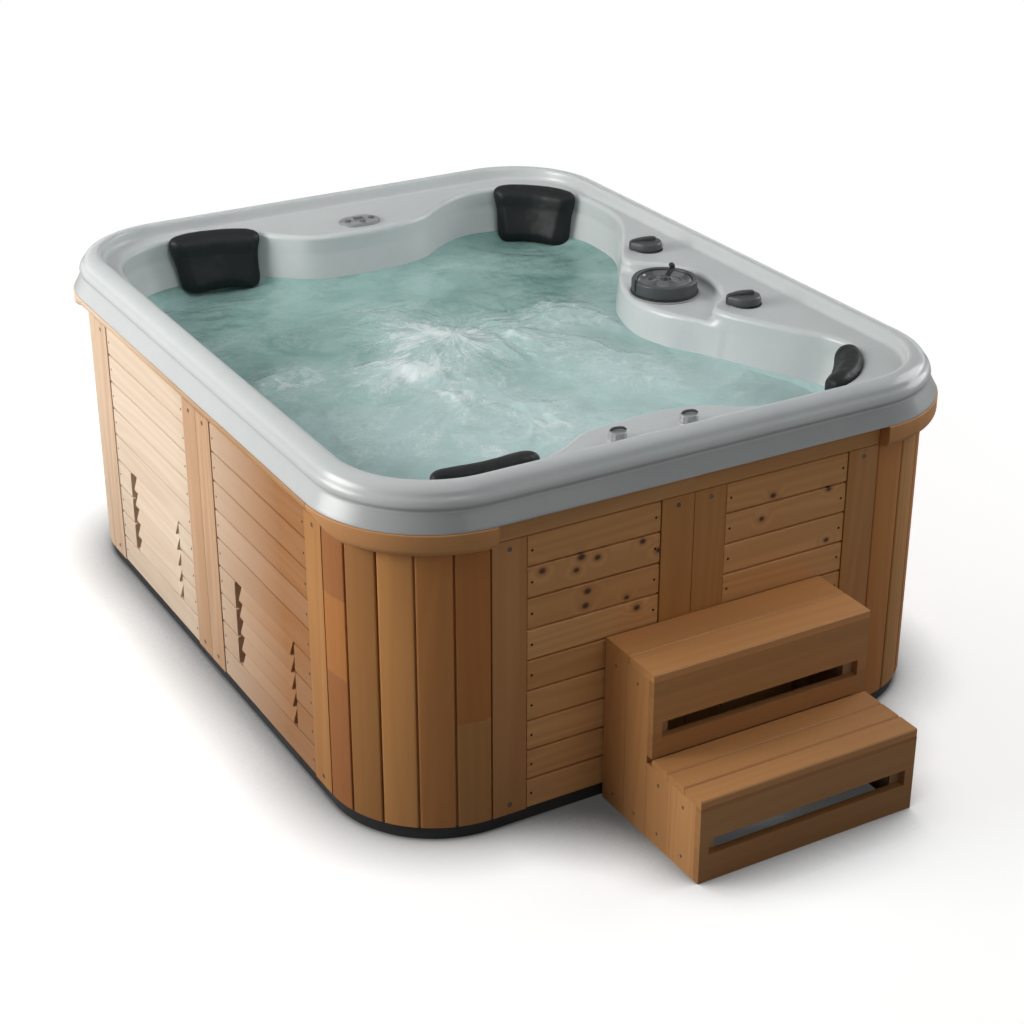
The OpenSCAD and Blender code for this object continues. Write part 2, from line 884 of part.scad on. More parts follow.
bar_w = 24;
bar_over = 24;
module vent_bars() {
    color(PALE_WOOD)
        at_wall(LEFT)
            for (x = vent_centres(), s = [-1, 1])
                translate([
                    x + s * (vent_w / 2 - slat_gap - 2 * bar_w) - bar_w / 2,
                    wood_t,
                    vent_z - bar_over
                ])
                    cube([bar_w, batten_t, vent_h + 2 * bar_over]);
}

// Pillows

// A pillow follows the basin's wall, whatever its shape. Its sides draw in between the
// corners, its face is crowned, and its foot is thicker than its top.
CUSHION_ROUND = 48;
CUSHION_RINGS = [
    // share of the outline, share of the thickness from the back
    [0.55, 0], [0.88, 0.03], [0.97, 0.14], [1, 0.3], [0.99, 0.5], [0.95, 0.68], [0.85, 0.84],
    [0.68, 0.94], [0.4, 0.99]
];
CUSHION_POWER = 7;
cushion_pinch = 0.035;
cushion_arch = 8;
pillow_gap = 0.6;
pillow_z = deck_z - pillow_h / 2 + pillow_rise;
function cushion_edge(a) =
    let (reach = pow(pow(abs(cos(a)), CUSHION_POWER) + pow(abs(sin(a)), CUSHION_POWER), -1 / CUSHION_POWER),
         pull = 1 - cushion_pinch * pow(cos(2 * a), 2))
    [cos(a) * reach * pull, sin(a) * reach * pull];

// The wall at a place along the outline that may lie between two of its points
function arc_length(i) = i == 0 ? 0 : arc_length(i - 1) + norm(BASIN[i % LOOP] - BASIN[i - 1]);
ARC = [for (i = [0 : LOOP]) [arc_length(i), i]];
function wall_line(i, z) = z >= basin_z ? BASIN[i] : let (p = wall_point(i, z)) [p[0], p[1]];
function along_loop(u, a, b) = a + (b - a) * (u - floor(u));
function wall_at(u, z) =
    let (i = floor(u)) along_loop(u, wall_line(i % LOOP, z), wall_line((i + 1) % LOOP, z));
function normal_at(u) =
    let (i = floor(u)) unit(along_loop(u, loop_normal(BASIN, i % LOOP), loop_normal(BASIN, (i + 1) % LOOP)));

function cushion_point(e, ring, at) =
    let (across = e[0] * ring[0],
         up = e[1] * ring[0],
         s = across * pillow_w / 2 * (1 + pillow_taper * (up - 1) / 2),
         z = pillow_z + up * pillow_h / 2 + cushion_arch * (1 - across * across) * max(0, e[1]),
         u = lookup(ARC[at][0] + s, ARC),
         depth = pillow_gap + ring[1] * pillow_t * (1 - pillow_wedge * up),
         p = wall_at(u, z) - normal_at(u) * depth)
    [p[0], p[1], z];
module pillow(at) {
    n = CUSHION_ROUND;
    rings = len(CUSHION_RINGS);
    edge = [for (k = [0 : n - 1]) cushion_edge(360 * k / n)];
    skin = [for (ring = CUSHION_RINGS, e = edge) cushion_point(e, ring, at)];
    back = cushion_point([0, 0], [0, 0], at);
    front = cushion_point([0, 0], [0, 1], at);
    sides = [for (r = [0 : rings - 2], k = [0 : n - 1])
        let (a = r * n + k, b = r * n + (k + 1) % n) each [[a, a + n, b], [b, a + n, b + n]]];
    last = (rings - 1) * n;
    ends = [for (k = [0 : n - 1])
        each [[rings * n, k, (k + 1) % n], [rings * n + 1, last + (k + 1) % n, last + k]]];
    color(LEATHER)
        polyhedron(concat(skin, [back, front]), concat(sides, ends), convexity = 4);
}

// Point of the basin's outline at the middle of each pillow
PILLOWS = [18, 50, 94, 125];

module pillow_back_left() {
    pillow(PILLOWS[0]);
}

module pillow_back_right() {
    pillow(PILLOWS[1]);
}

module pillow_front_right() {
    pillow(PILLOWS[2]);
}

module pillow_front_left() {
    pillow(PILLOWS[3]);
}

// Filter, in its bay: canister, collar, cartridge and twist-off lid

collar_flange_t = 4;
canister_wall = 4;
pipe_r = 25;
module filter_canister() {
    color(DARK_GREY)
        translate([filter_at[0], filter_at[1], shelf_z - canister_h])
            difference() {
                union() {
                    cylinder(r = canister_r, h = canister_h);
                    translate([0, 0, -40])
                        cylinder(r = pipe_r + 6, h = 41);
                }
                translate([0, 0, canister_wall])
                    cylinder(r = canister_r - canister_wall, h = canister_h);
                translate([0, 0, -41])
                    cylinder(r = pipe_r, h = 60);
            }
}

module filter_collar() {
    color(DARK_GREY)
        translate([filter_at[0], filter_at[1], shelf_z])
            difference() {
                union() {
                    cylinder(r = collar_r + 4, h = collar_flange_t);
                    cylinder(r = collar_r, h = collar_h - bevel);
                    cylinder(r = collar_r - bevel, h = collar_h);
                }
                translate([0, 0, collar_flange_t])
                    cylinder(r = collar_bore_r, h = collar_h);
                translate([0, 0, -1])
                    cylinder(r = canister_r - canister_wall, h = collar_h);
            }
}

// The cartridge hangs under a stem that the lid turns on
stem_r = 12;
pleat_count = 24;
cartridge_r = 54;
cartridge_h = 230;
cartridge_top = shelf_z - 20;
lid_seat_z = shelf_z + collar_flange_t + 16;
module filter_cartridge() {
    color(PVC)
        translate([filter_at[0], filter_at[1], 0]) {
            difference() {
                union() {
                    for (z = [cartridge_top - cartridge_h - 10, cartridge_top - 10])
                        translate([0, 0, z])
                            cylinder(r = cartridge_r + 4, h = 10);
                    translate([0, 0, cartridge_top - cartridge_h - 1])
                        linear_extrude(cartridge_h - 8)
                            polygon([for (k = [0 : 2 * pleat_count - 1])
                                let (r = cartridge_r - (k % 2 == 0 ? 0 : 10), a = 180 * k / pleat_count)
                                [r * cos(a), r * sin(a)]]);
                }
                translate([0, 0, cartridge_top - cartridge_h - 20])
                    cylinder(r = 24, h = cartridge_h - 10);
            }
            translate([0, 0, cartridge_top - 1])
                cylinder(r = stem_r, h = lid_seat_z + 14 - cartridge_top);
            // Flange that rests in the collar
            translate([0, 0, shelf_z + collar_flange_t + touch])
                difference() {
                    cylinder(r = collar_bore_r - 1, h = 6);
                    for (a = [0 : 60 : 300])
                        rotate(a)
                            translate([42, 0, -1])
                                cylinder(r = 13, h = 8);
                }
        }
}

lid_r = collar_bore_r - 0.8;
lid_t = 12;
handle_w = 12;
module filter_lid() {
    top = lid_seat_z + lid_t;
    color(CHROME)
        translate([filter_at[0], filter_at[1], 0]) {
            difference() {
                union() {
                    translate([0, 0, lid_seat_z])
                        cylinder(r = lid_r, h = lid_t);
                    translate([0, 0, top - 1])
                        cylinder(r = 22, h = 7);
                    // Grip across the dish
                    rotate(35)
                        translate([-lid_r + 16, -handle_w / 2, top - 1])
                            cube([2 * (lid_r - 16), handle_w, 10]);
                }
                translate([0, 0, lid_seat_z - 1])
                    cylinder(r = stem_r + spindle_fit, h = 16);
                // Dish round the boss
                translate([0, 0, top - 4])
                    difference() {
                        cylinder(r = lid_r - 8, h = 4.01);
                        translate([0, 0, -1])
                            cylinder(r = 24, h = 8);
                        rotate(35)
                            translate([-lid_r, -handle_w / 2 - 1, -1])
                                cube([2 * lid_r, handle_w + 2, 8]);
                    }
            }
            lid_lever(top);
        }
}

// S-shaped lever, cut from plate, that stands up from the lid's boss
lever_t = 7;
module lid_lever(top) {
    rotate(25)
        translate([0, lever_t / 2, 0])
            rotate([90, 0, 0])
                linear_extrude(lever_t)
                    polygon([
                        [-4, top + 5], [12, top + 5], [22, top + 14], [32, top + 18], [40, top + 26],
                        [42, top + 36], [36, top + 45], [26, top + 47], [25, top + 41], [32, top + 38],
                        [35, top + 33], [33, top + 28], [26, top + 24], [14, top + 21], [4, top + 14]
                    ]);
}

// A round bar from a to b
module rod(a, b, r) {
    d = b - a;
    translate(a)
        rotate([0, acos(d[2] / norm(d)), atan2(d[1], d[0])])
            cylinder(r = r, h = norm(d), $fn = 32);
}

// Diverter valves, air valves and the control panel

valve_r = 26;
valve_depth = 90;
spindle_r = 8;
spindle_h = 12;
washer_r = knob_r + 3;
washer_t = 2;
module diverter_valves() {
    color(DARK_GREY)
        for (p = [knob_rear_at, knob_front_at])
            translate([p[0], p[1], deck_z]) {
                difference() {
                    union() {
                        translate([0, 0, -valve_depth])
                            cylinder(r = valve_r, h = valve_depth);
                        cylinder(r = washer_r, h = washer_t);
                    }
                    translate([0, 0, -spindle_h - 2])
                        cylinder(r = spindle_r + spindle_fit, h = spindle_h + 10);
                    translate([0, 0, -valve_depth - 1])
                        cylinder(r = valve_r - 6, h = valve_depth - 30);
                }
            }
}

// A drop-shaped cap with a grip bar across it that ends in a short hook
knob_nose = 16;
module diverter_knob(at, turn) {
    z = deck_z + washer_t + touch;
    color(DARK_GREY)
        translate([at[0], at[1], z])
            rotate(turn) {
                cylinder(r = knob_r, h = knob_h - bevel);
                cylinder(r = knob_r - bevel, h = knob_h);
                // Nose of the drop, tangent to the round of the cap
                linear_extrude(knob_h - bevel)
                    polygon([
                        [-knob_r * sin(35), knob_r * cos(35)], [-knob_r - knob_nose, 14],
                        [-knob_r - knob_nose, -14], [-knob_r * sin(35), -knob_r * cos(35)]
                    ]);
                translate([-knob_r - knob_nose + 2, -7, knob_h - bevel])
                    cube([knob_r + knob_nose + 18, 14, 12]);
                translate([18, 0, knob_h - bevel])
                    cylinder(r = 7, h = 12);
                translate([0, 0, -spindle_h - touch - washer_t + 1])
                    cylinder(r = spindle_r, h = spindle_h + washer_t + 1);
            }
}

module diverter_knob_rear() {
    diverter_knob(knob_rear_at, -20);
}

module diverter_knob_front() {
    diverter_knob(knob_front_at, -20);
}

air_body_r = 15;
air_spindle_r = 5;
air_depth = 60;
module air_valves() {
    color(PVC)
        for (p = [air_left_at, air_right_at])
            translate([p[0], p[1], deck_z])
                difference() {
                    union() {
                        translate([0, 0, -air_depth])
                            cylinder(r = air_body_r, h = air_depth);
                        cylinder(r = air_r + 2, h = washer_t);
                    }
                    translate([0, 0, -spindle_h - 2])
                        cylinder(r = air_spindle_r + spindle_fit, h = spindle_h + 10);
                }
}

// Knob with flutes round its side
flutes = 12;
module air_knob(at) {
    z = deck_z + washer_t + touch;
    color(CHROME)
        translate([at[0], at[1], z]) {
            difference() {
                union() {
                    cylinder(r = air_r, h = air_h - 2);
                    cylinder(r = air_r - 2, h = air_h);
                }
                for (k = [0 : flutes - 1])
                    rotate(360 * k / flutes)
                        translate([air_r + 1, 0, 3])
                            cylinder(r = 2.6, h = air_h, $fn = 24);
            }
            translate([0, 0, -spindle_h - touch - washer_t + 1])
                cylinder(r = air_spindle_r, h = spindle_h + washer_t + 1);
        }
}

module air_knob_left() {
    air_knob(air_left_at);
}

module air_knob_right() {
    air_knob(air_right_at);
}

panel_lip = 10;
panel_depth = 30;
panel_t = 8;
button_h = 6;
button_sink = 4;
button_stem_r = 4;
module oval_plan(in) {
    rounded_box_plan(-panel_l / 2 + in, panel_l / 2 - in, -panel_w / 2 + in, panel_w / 2 - in,
                     panel_w / 2 - in - 0.5);
}

module control_panel() {
    color(DARK_GREY)
        translate([panel_at[0], panel_at[1], deck_z])
            difference() {
                union() {
                    linear_extrude(panel_t - bevel)
                        oval_plan(0);
                    linear_extrude(panel_t)
                        oval_plan(bevel);
                    translate([0, 0, -panel_depth])
                        linear_extrude(panel_depth)
                            oval_plan(panel_lip);
                    // Raised display
                    translate([-18, -4, 0])
                        cube([36, 26, panel_t + 2]);
                }
                for (p = BUTTON_AT)
                    translate(p) {
                        translate([0, 0, panel_t - button_sink])
                            cylinder(r = button_r + 0.1, h = 20);
                        translate([0, 0, -10])
                            cylinder(r = button_stem_r + 0.1, h = 30);
                    }
            }
}

module control_button(k) {
    color(CHROME)
        translate([panel_at[0], panel_at[1], deck_z + panel_t - button_sink])
            translate([BUTTON_AT[k][0], BUTTON_AT[k][1], button_travel + touch]) {
                cylinder(r = button_r, h = button_h - 1);
                cylinder(r = button_r - 1, h = button_h);
                translate([0, 0, -8])
                    cylinder(r = button_stem_r, h = 9);
            }
}

module control_button_1() {
    control_button(0);
}

module control_button_2() {
    control_button(1);
}

module control_button_3() {
    control_button(2);
}

// Jets

// Puts children at each small jet
module at_small_jets() {
    for (i = LARGE_JETS, k = [-SMALL_JET_STEP, SMALL_JET_STEP])
        on_basin(i + k, small_jet_z)
            children();
}

jet_depth = 62;
module jet_bodies() {
    color(PVC) {
        for (i = LARGE_JETS)
            on_basin(i, jet_z)
                translate([0, 0, -jet_depth])
                    difference() {
                        union() {
                            cylinder(r = jet_pipe_r, h = jet_depth);
                            cylinder(r = jet_pipe_r + 12, h = jet_depth - 20);
                        }
                        translate([0, 0, 6])
                            cylinder(r = jet_pipe_r - 3, h = jet_depth);
                    }
        at_small_jets()
            translate([0, 0, -44])
                difference() {
                    union() {
                        cylinder(r = small_jet_pipe_r, h = 44);
                        cylinder(r = small_jet_pipe_r + 8, h = 28);
                    }
                    translate([0, 0, 6])
                        cylinder(r = small_jet_pipe_r - 3, h = 44);
                }
    }
}

module jet_faces() {
    color(CHROME) {
        for (i = LARGE_JETS)
            on_basin(i, jet_z)
                difference() {
                    union() {
                        translate([0, 0, jet_stand])
                            cylinder(r = jet_r, h = 4);
                        translate([0, 0, jet_stand])
                            cylinder(r = jet_r - 5, h = 7);
                        translate([0, 0, touch])
                            cylinder(r = jet_pipe_r - 3 - touch, h = jet_stand);
                        translate([0, 0, -12])
                            cylinder(r = jet_pipe_r - 3 - touch, h = 14);
                    }
                    translate([0, 0, jet_stand - 3])
                        cylinder(r = nozzle_r + spindle_fit, h = 20);
                    translate([0, 0, -20])
                        cylinder(r = 8, h = 40);
                }
        at_small_jets()
            difference() {
                union() {
                    translate([0, 0, small_jet_stand])
                        cylinder(r = small_jet_r, h = 4);
                    translate([0, 0, -8])
                        cylinder(r = small_jet_pipe_r - 3 - touch, h = 12);
                }
                translate([0, 0, -10])
                    cylinder(r = 5, h = 30);
            }
    }
}

// Turning insert of a large jet, with one slanted outlet off its middle
module jet_nozzle(k) {
    color(DARK_GREY)
        on_basin(LARGE_JETS[k], jet_z)
            difference() {
                union() {
                    translate([0, 0, jet_stand - 3 + touch])
                        cylinder(r = nozzle_r, h = 11);
                    translate([0, 0, jet_stand + 7])
                        cylinder(r = nozzle_r - 3, h = 4);
                }
                translate([-6, 0, jet_stand - 6])
                    rotate([0, -25, 0])
                        cylinder(r = 6, h = 40, center = true, $fn = 32);
            }
}

module jet_nozzle_1() {
    jet_nozzle(0);
}

module jet_nozzle_2() {
    jet_nozzle(1);
}

module jet_nozzle_3() {
    jet_nozzle(2);
}

module jet_nozzle_4() {
    jet_nozzle(3);
}

module suction_covers() {
    color(PVC)
        for (i = SUCTIONS)
            on_basin(i, suction_z)
                difference() {
                    union() {
                        translate([0, 0, fitting_stand])
                            cylinder(r = suction_r, h = 5);
                        translate([0, 0, fitting_stand])
                            cylinder(r = suction_r - 10, h = 14);
                        translate([0, 0, -40])
                            cylinder(r = suction_pipe_r, h = 42);
                    }
                    translate([0, 0, -41])
                        cylinder(r = suction_pipe_r - 4, h = 50);
                    for (a = [0 : 30 : 330])
                        rotate(a)
                            translate([22, 0, 4])
                                cylinder(r = 4, h = 20, $fn = 24);
                }
}

module underwater_light() {
    color(CHROME)
        on_basin(LIGHT, suction_z) {
            translate([0, 0, fitting_stand])
                cylinder(r = light_r, h = 6);
            translate([0, 0, fitting_stand])
                cylinder(r = light_r - 8, h = 10);
            translate([0, 0, -30])
                cylinder(r = suction_pipe_r, h = 32);
        }
}

// Machinery in the cabinet, behind the vents of the left wall

pump_at = [-560, -560];
pump_z = 130;
motor_r = 72;
motor_h = 220;
volute_r = 88;
volute_h = 78;
shaft_r = 8;
module along_y(at, z) {
    translate([at[0], at[1], z])
        rotate([-90, 0, 0])
            children();
}

module pump_motor() {
    color(BLACK) {
        along_y(pump_at, pump_z)
            difference() {
                union() {
                    cylinder(r = motor_r, h = motor_h);
                    for (y = [30 : 20 : motor_h - 20])
                        translate([0, 0, y])
                            cylinder(r = motor_r + 4, h = 6);
                }
                translate([0, 0, motor_h - 60])
                    cylinder(r = shaft_r + spindle_fit, h = 61);
            }
        // Feet
        for (y = [20, motor_h - 50])
            translate([pump_at[0] - 60, pump_at[1] + y, pan_floor])
                difference() {
                    cube([120, 30, pump_z - pan_floor - 20]);
                    translate([60, -1, pump_z - pan_floor])
                        rotate([-90, 0, 0])
                            cylinder(r = motor_r - 2, h = 32);
                }
    }
}

port_r = 28;
module pump_volute() {
    wall = 8;
    color(BLACK)
        along_y([pump_at[0], pump_at[1] + motor_h], pump_z)
            difference() {
                union() {
                    cylinder(r = volute_r, h = volute_h);
                    // Suction port ahead, delivery port upwards
                    cylinder(r = port_r, h = volute_h + 50);
                    translate([-50, 0, volute_h / 2])
                        rotate([90, 0, 0])
                            cylinder(r = port_r, h = volute_r + 50);
                }
                translate([0, 0, wall])
                    cylinder(r = volute_r - wall, h = volute_h - 2 * wall);
                translate([0, 0, -1])
                    cylinder(r = shaft_r + spindle_fit, h = 20);
                translate([0, 0, volute_h - wall - 1])
                    cylinder(r = port_r - 4, h = 80);
                translate([-50, 0, volute_h / 2])
                    rotate([90, 0, 0])
                        cylinder(r = port_r - 4, h = volute_r + 60);
            }
}

vanes = 6;
module pump_impeller() {
    color(CHROME)
        along_y([pump_at[0], pump_at[1] + motor_h], pump_z) {
            translate([0, 0, -50])
                cylinder(r = shaft_r, h = 75);
            translate([0, 0, 14])
                cylinder(r = 66, h = 6);
            for (k = [0 : vanes - 1])
                rotate(360 * k / vanes)
                    translate([20, -2, 19])
                        cube([44, 4, 24]);
            translate([0, 0, 19])
                cylinder(r = 22, h = 8);
        }
}

blower_at = [-540, 240];
blower_r = 85;
blower_h = 170;
module air_blower() {
    color(DARK_GREY)
        translate([blower_at[0], blower_at[1], pan_floor]) {
            for (a = [45 : 90 : 315])
                rotate(a)
                    translate([60, 0, 0])
                        cylinder(r = 10, h = 31);
            translate([0, 0, 30])
                cylinder(r = blower_r, h = blower_h * 0.6);
            translate([0, 0, 30 + blower_h * 0.6 - 1])
                cylinder(r = blower_r - 10, h = blower_h * 0.4);
            translate([0, 0, blower_h + 20])
                cylinder(r = port_r, h = 40);
        }
}

// Control box on two feet, with the heater tube clipped under it
box_at = [-660, 520];
box_size = [100, 270, 230];
box_z = 150;
heater_r = 32;
heater_z = 96;
heater_end = 30;
heater_h = box_size[1] + 2 * heater_end;
gland_r = 12;
module control_box() {
    color(DARK_GREY) {
        // Cable gland
        translate([box_at[0], box_at[1] - box_size[1] / 2 + 1, box_z + 180])
            rotate([90, 0, 0])
                tube(gland_r, 5, 20);
        translate([box_at[0] - box_size[0] / 2, box_at[1] - box_size[1] / 2, box_z])
            cube(box_size);
        translate([
            box_at[0] - box_size[0] / 2 + 4,
            box_at[1] - box_size[1] / 2 + 10,
            box_z + box_size[2] - 1
        ])
            cube([box_size[0] - 8, box_size[1] - 20, 7]);
        for (y = [-box_size[1] / 2 + 6, box_size[1] / 2 - 26])
            translate([box_at[0] - 45, box_at[1] + y, pan_floor])
                difference() {
                    cube([90, 20, box_z - pan_floor + 1]);
                    translate([45, -1, heater_z - pan_floor])
                        rotate([-90, 0, 0])
                            cylinder(r = heater_r + touch, h = 22);
                }
    }
}

module heater() {
    color(CHROME)
        along_y([box_at[0], box_at[1] - heater_h / 2], heater_z)
            difference() {
                union() {
                    cylinder(r = heater_r, h = heater_h);
                    cylinder(r = heater_r + 8, h = 22);
                    translate([0, 0, heater_h - 22])
                        cylinder(r = heater_r + 8, h = 22);
                }
                translate([0, 0, 22])
                    cylinder(r = heater_r - 3, h = heater_h - 44);
                translate([0, 0, -1])
                    cylinder(r = pipe_r - 6, h = heater_h + 2);
            }
}

// Pipes: the corners of each run
pump_port = [pump_at[0], pump_at[1] + motor_h + volute_h + 50, pump_z];
delivery = [pump_at[0] - 50, pump_at[1] + motor_h + volute_h / 2, pump_z + volute_r + 50];
heater_x = box_at[0];
heater_in = [heater_x, box_at[1] - heater_h / 2 - touch, heater_z];
heater_out = [heater_x, box_at[1] + heater_h / 2 + touch, heater_z];
air_pipe_z = 330;
filter_foot = [filter_at[0], filter_at[1], shelf_z - canister_h - 40];
PIPE_RUNS = [
    [filter_foot, [filter_at[0], filter_at[1], 70], [pump_at[0], filter_at[1], 70],
     [pump_at[0], filter_at[1], pump_z], pump_port],
    [delivery, delivery + [0, 0, 50], [heater_x, delivery[1], delivery[2] + 50],
     [heater_x, heater_in[1] - 230, delivery[2] + 50], [heater_x, heater_in[1] - 230, heater_z], heater_in],
    [heater_out, heater_out + [0, 50, 0], heater_out + [0, 50, 300]],
    [[blower_at[0], blower_at[1], pan_floor + blower_h + 60], [blower_at[0], blower_at[1], air_pipe_z],
     [blower_at[0] + 90, blower_at[1], air_pipe_z], [blower_at[0] + 90, blower_at[1] + 260, air_pipe_z]]
];
module pipe(path, r) {
    for (k = [0 : len(path) - 2])
        rod(path[k], path[k + 1], r);
    for (k = [1 : len(path) - 2])
        translate(path[k])
            sphere(r = r, $fn = 48);
}

module pipework() {
    color(PVC)
        for (path = PIPE_RUNS)
            pipe(path, pipe_r - touch);
}

// Step: boarded sides, two treads, two slotted risers and the posts inside

step_top = 2 * step_rise;
step_back = -hy - step_gap;
upper_front = step_back - upper_depth;
step_front = upper_front - lower_depth;
step_left = step_x - step_w / 2;
board_joint = 1;
SIDE_X = [step_left, step_left + step_w - step_t];

// Boards from y0 to y1, split into n with a fine joint between them
module side_boards(x, y0, y1, n, h) {
    w = (y1 - y0) / n;
    for (k = [0 : n - 1])
        translate([x, y0 + k * w + board_joint / 2, 0])
            cube([step_t, w - board_joint, h]);
}

// Screws through the sides, near the top and the foot of each side board
step_screw_in = 34;
STEP_SCREWS = concat(
    [for (k = [1, 3], z = [step_screw_in, step_top - step_t - step_screw_in])
        [step_back - k * (upper_depth - step_t) / 4, z]],
    [for (k = [1, 3], z = [step_screw_in, step_rise - step_t - step_screw_in])
        [upper_front + step_t - k * lower_depth / 4, z]]
);
module step_screws_at(grow) {
    for (s = [-1, 1], p = STEP_SCREWS)
        translate([step_x + s * step_w / 2, p[0], p[1]])
            rotate([0, -90 * s, 0]) {
                translate([0, 0, 1 - (grow > 0 ? 2 : 0)])
                    cylinder(r = screw_head_r - 2 + grow, h = 2 + (grow > 0 ? 2 + grow : 0), $fn = 32);
                translate([0, 0, 2])
                    cylinder(r = screw_r + grow, h = step_t - 2 + (grow > 0 ? 1 : -1), $fn = 32);
            }
}

module step_screws() {
    color(DARK_GREY)
        step_screws_at(0);
}

module step_sides() {
    color(STEP_WOOD)
        difference() {
            for (x = SIDE_X) {
                side_boards(x, upper_front + step_t, step_back, 2, step_top - step_t);
                side_boards(x, step_front + step_t, upper_front + step_t, 2, step_rise - step_t);
            }
            step_screws_at(hole_fit);
        }
}

module tread(y0, y1, z, n) {
    w = (y1 - y0) / n;
    for (k = [0 : n - 1])
        translate([step_left, y0 + k * w + board_joint, z - step_t])
            along_x(step_w)
                polygon([
                    [0, 0], [w - 2 * board_joint, 0], [w - 2 * board_joint, step_t - bevel],
                    [w - 2 * board_joint - bevel, step_t], [bevel, step_t], [0, step_t - bevel]
                ]);
}

module step_treads() {
    color(STEP_WOOD) {
        tread(upper_front, step_back, step_top, 2);
        tread(step_front, upper_front, step_rise, 3);
    }
}

// A riser is two rails with a slot between them, closed at its ends by short blocks
slot_end = 26;
module riser(y, z0, z1, low) {
    for (z = [[z0, z0 + low], [z0 + low + slot_h, z1]])
        translate([step_left, y, z[0]])
            cube([step_w, step_t, z[1] - z[0]]);
    for (x = [step_left, step_left + step_w - slot_end])
        translate([x, y, z0 + low])
            cube([slot_end, step_t, slot_h]);
}

module step_risers() {
    color(STEP_WOOD) {
        riser(step_front, 0, step_rise - step_t, 72);
        riser(upper_front, step_rise, step_top - step_t, 50);
    }
}

step_post = 34;
module step_posts() {
    front_y = step_front + step_t;
    upper_y = upper_front + step_t;
    color(PALE_WOOD)
        for (x = [step_left + step_t, step_left + step_w - step_t - step_post]) {
            translate([x, front_y, 0])
                cube([step_post, step_post, step_rise - step_t]);
            translate([x, upper_y, 0])
                cube([step_post, step_post, step_top - step_t]);
            translate([x, step_back - step_post - 1, 0])
                cube([step_post, step_post, step_top - step_t]);
            translate([x, front_y + step_post, step_rise - step_t - step_post])
                cube([step_t, upper_y - front_y - step_post, step_post]);
            translate([x, upper_y + step_post, step_top - step_t - step_post])
                cube([step_t, step_back - upper_y - 2 * step_post - 1, step_post]);
        }
}

base_pan();
frame_rails();
wall_studs();
corner_formers();
shell_cradle();
shell_rim();
shell_walls();
shell_seats();
shell_footwell();
front_boards();
right_boards();
back_boards();
left_boards();
panel_stiles();
top_rails();
panel_battens();
corner_staves();
fascia();
vent_louvres();
vent_bars();
panel_screws();
board_nails();
pillow_back_left();
pillow_back_right();
pillow_front_right();
pillow_front_left();
filter_canister();
filter_collar();
filter_cartridge();
filter_lid();
diverter_valves();
diverter_knob_rear();
diverter_knob_front();
air_valves();
air_knob_left();
air_knob_right();
control_panel();
control_button_1();
control_button_2();
control_button_3();
jet_bodies();
jet_faces();
jet_nozzle_1();
jet_nozzle_2();
jet_nozzle_3();
jet_nozzle_4();
suction_covers();
underwater_light();
pump_motor();
pump_volute();
pump_impeller();
air_blower();
heater();
control_box();
pipework();
step_sides();
step_treads();
step_risers();
step_posts();
step_screws();
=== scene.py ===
import math
from functools import partialmethod

import bpy
import numpy as np
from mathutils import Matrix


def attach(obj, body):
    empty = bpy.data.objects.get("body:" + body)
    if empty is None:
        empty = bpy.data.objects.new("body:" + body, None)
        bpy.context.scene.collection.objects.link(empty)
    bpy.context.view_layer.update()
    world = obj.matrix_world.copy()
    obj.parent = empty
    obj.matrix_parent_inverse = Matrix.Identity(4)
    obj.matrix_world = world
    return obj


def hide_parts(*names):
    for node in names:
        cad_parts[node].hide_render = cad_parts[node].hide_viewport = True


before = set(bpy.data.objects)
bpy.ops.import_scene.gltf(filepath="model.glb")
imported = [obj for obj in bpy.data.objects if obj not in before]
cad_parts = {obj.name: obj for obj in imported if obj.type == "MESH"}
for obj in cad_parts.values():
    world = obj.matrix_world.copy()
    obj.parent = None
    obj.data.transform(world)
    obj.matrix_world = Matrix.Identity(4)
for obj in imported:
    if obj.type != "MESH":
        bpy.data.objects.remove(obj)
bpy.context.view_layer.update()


# Base pan: one black vacuum-formed tray of thick plastic that keeps damp and insects out.
# It lies on the floor, and all the timber stands on its rim.
pan_rib = 0.004


def feed(made, inputs):
    """Sets a node's inputs to numbers or colours, or joins wires to them."""
    for key, value in dict(inputs).items():
        if isinstance(value, Wire):
            made.id_data.links.new(value.socket, made.inputs[key])
        else:
            made.inputs[key].default_value = value


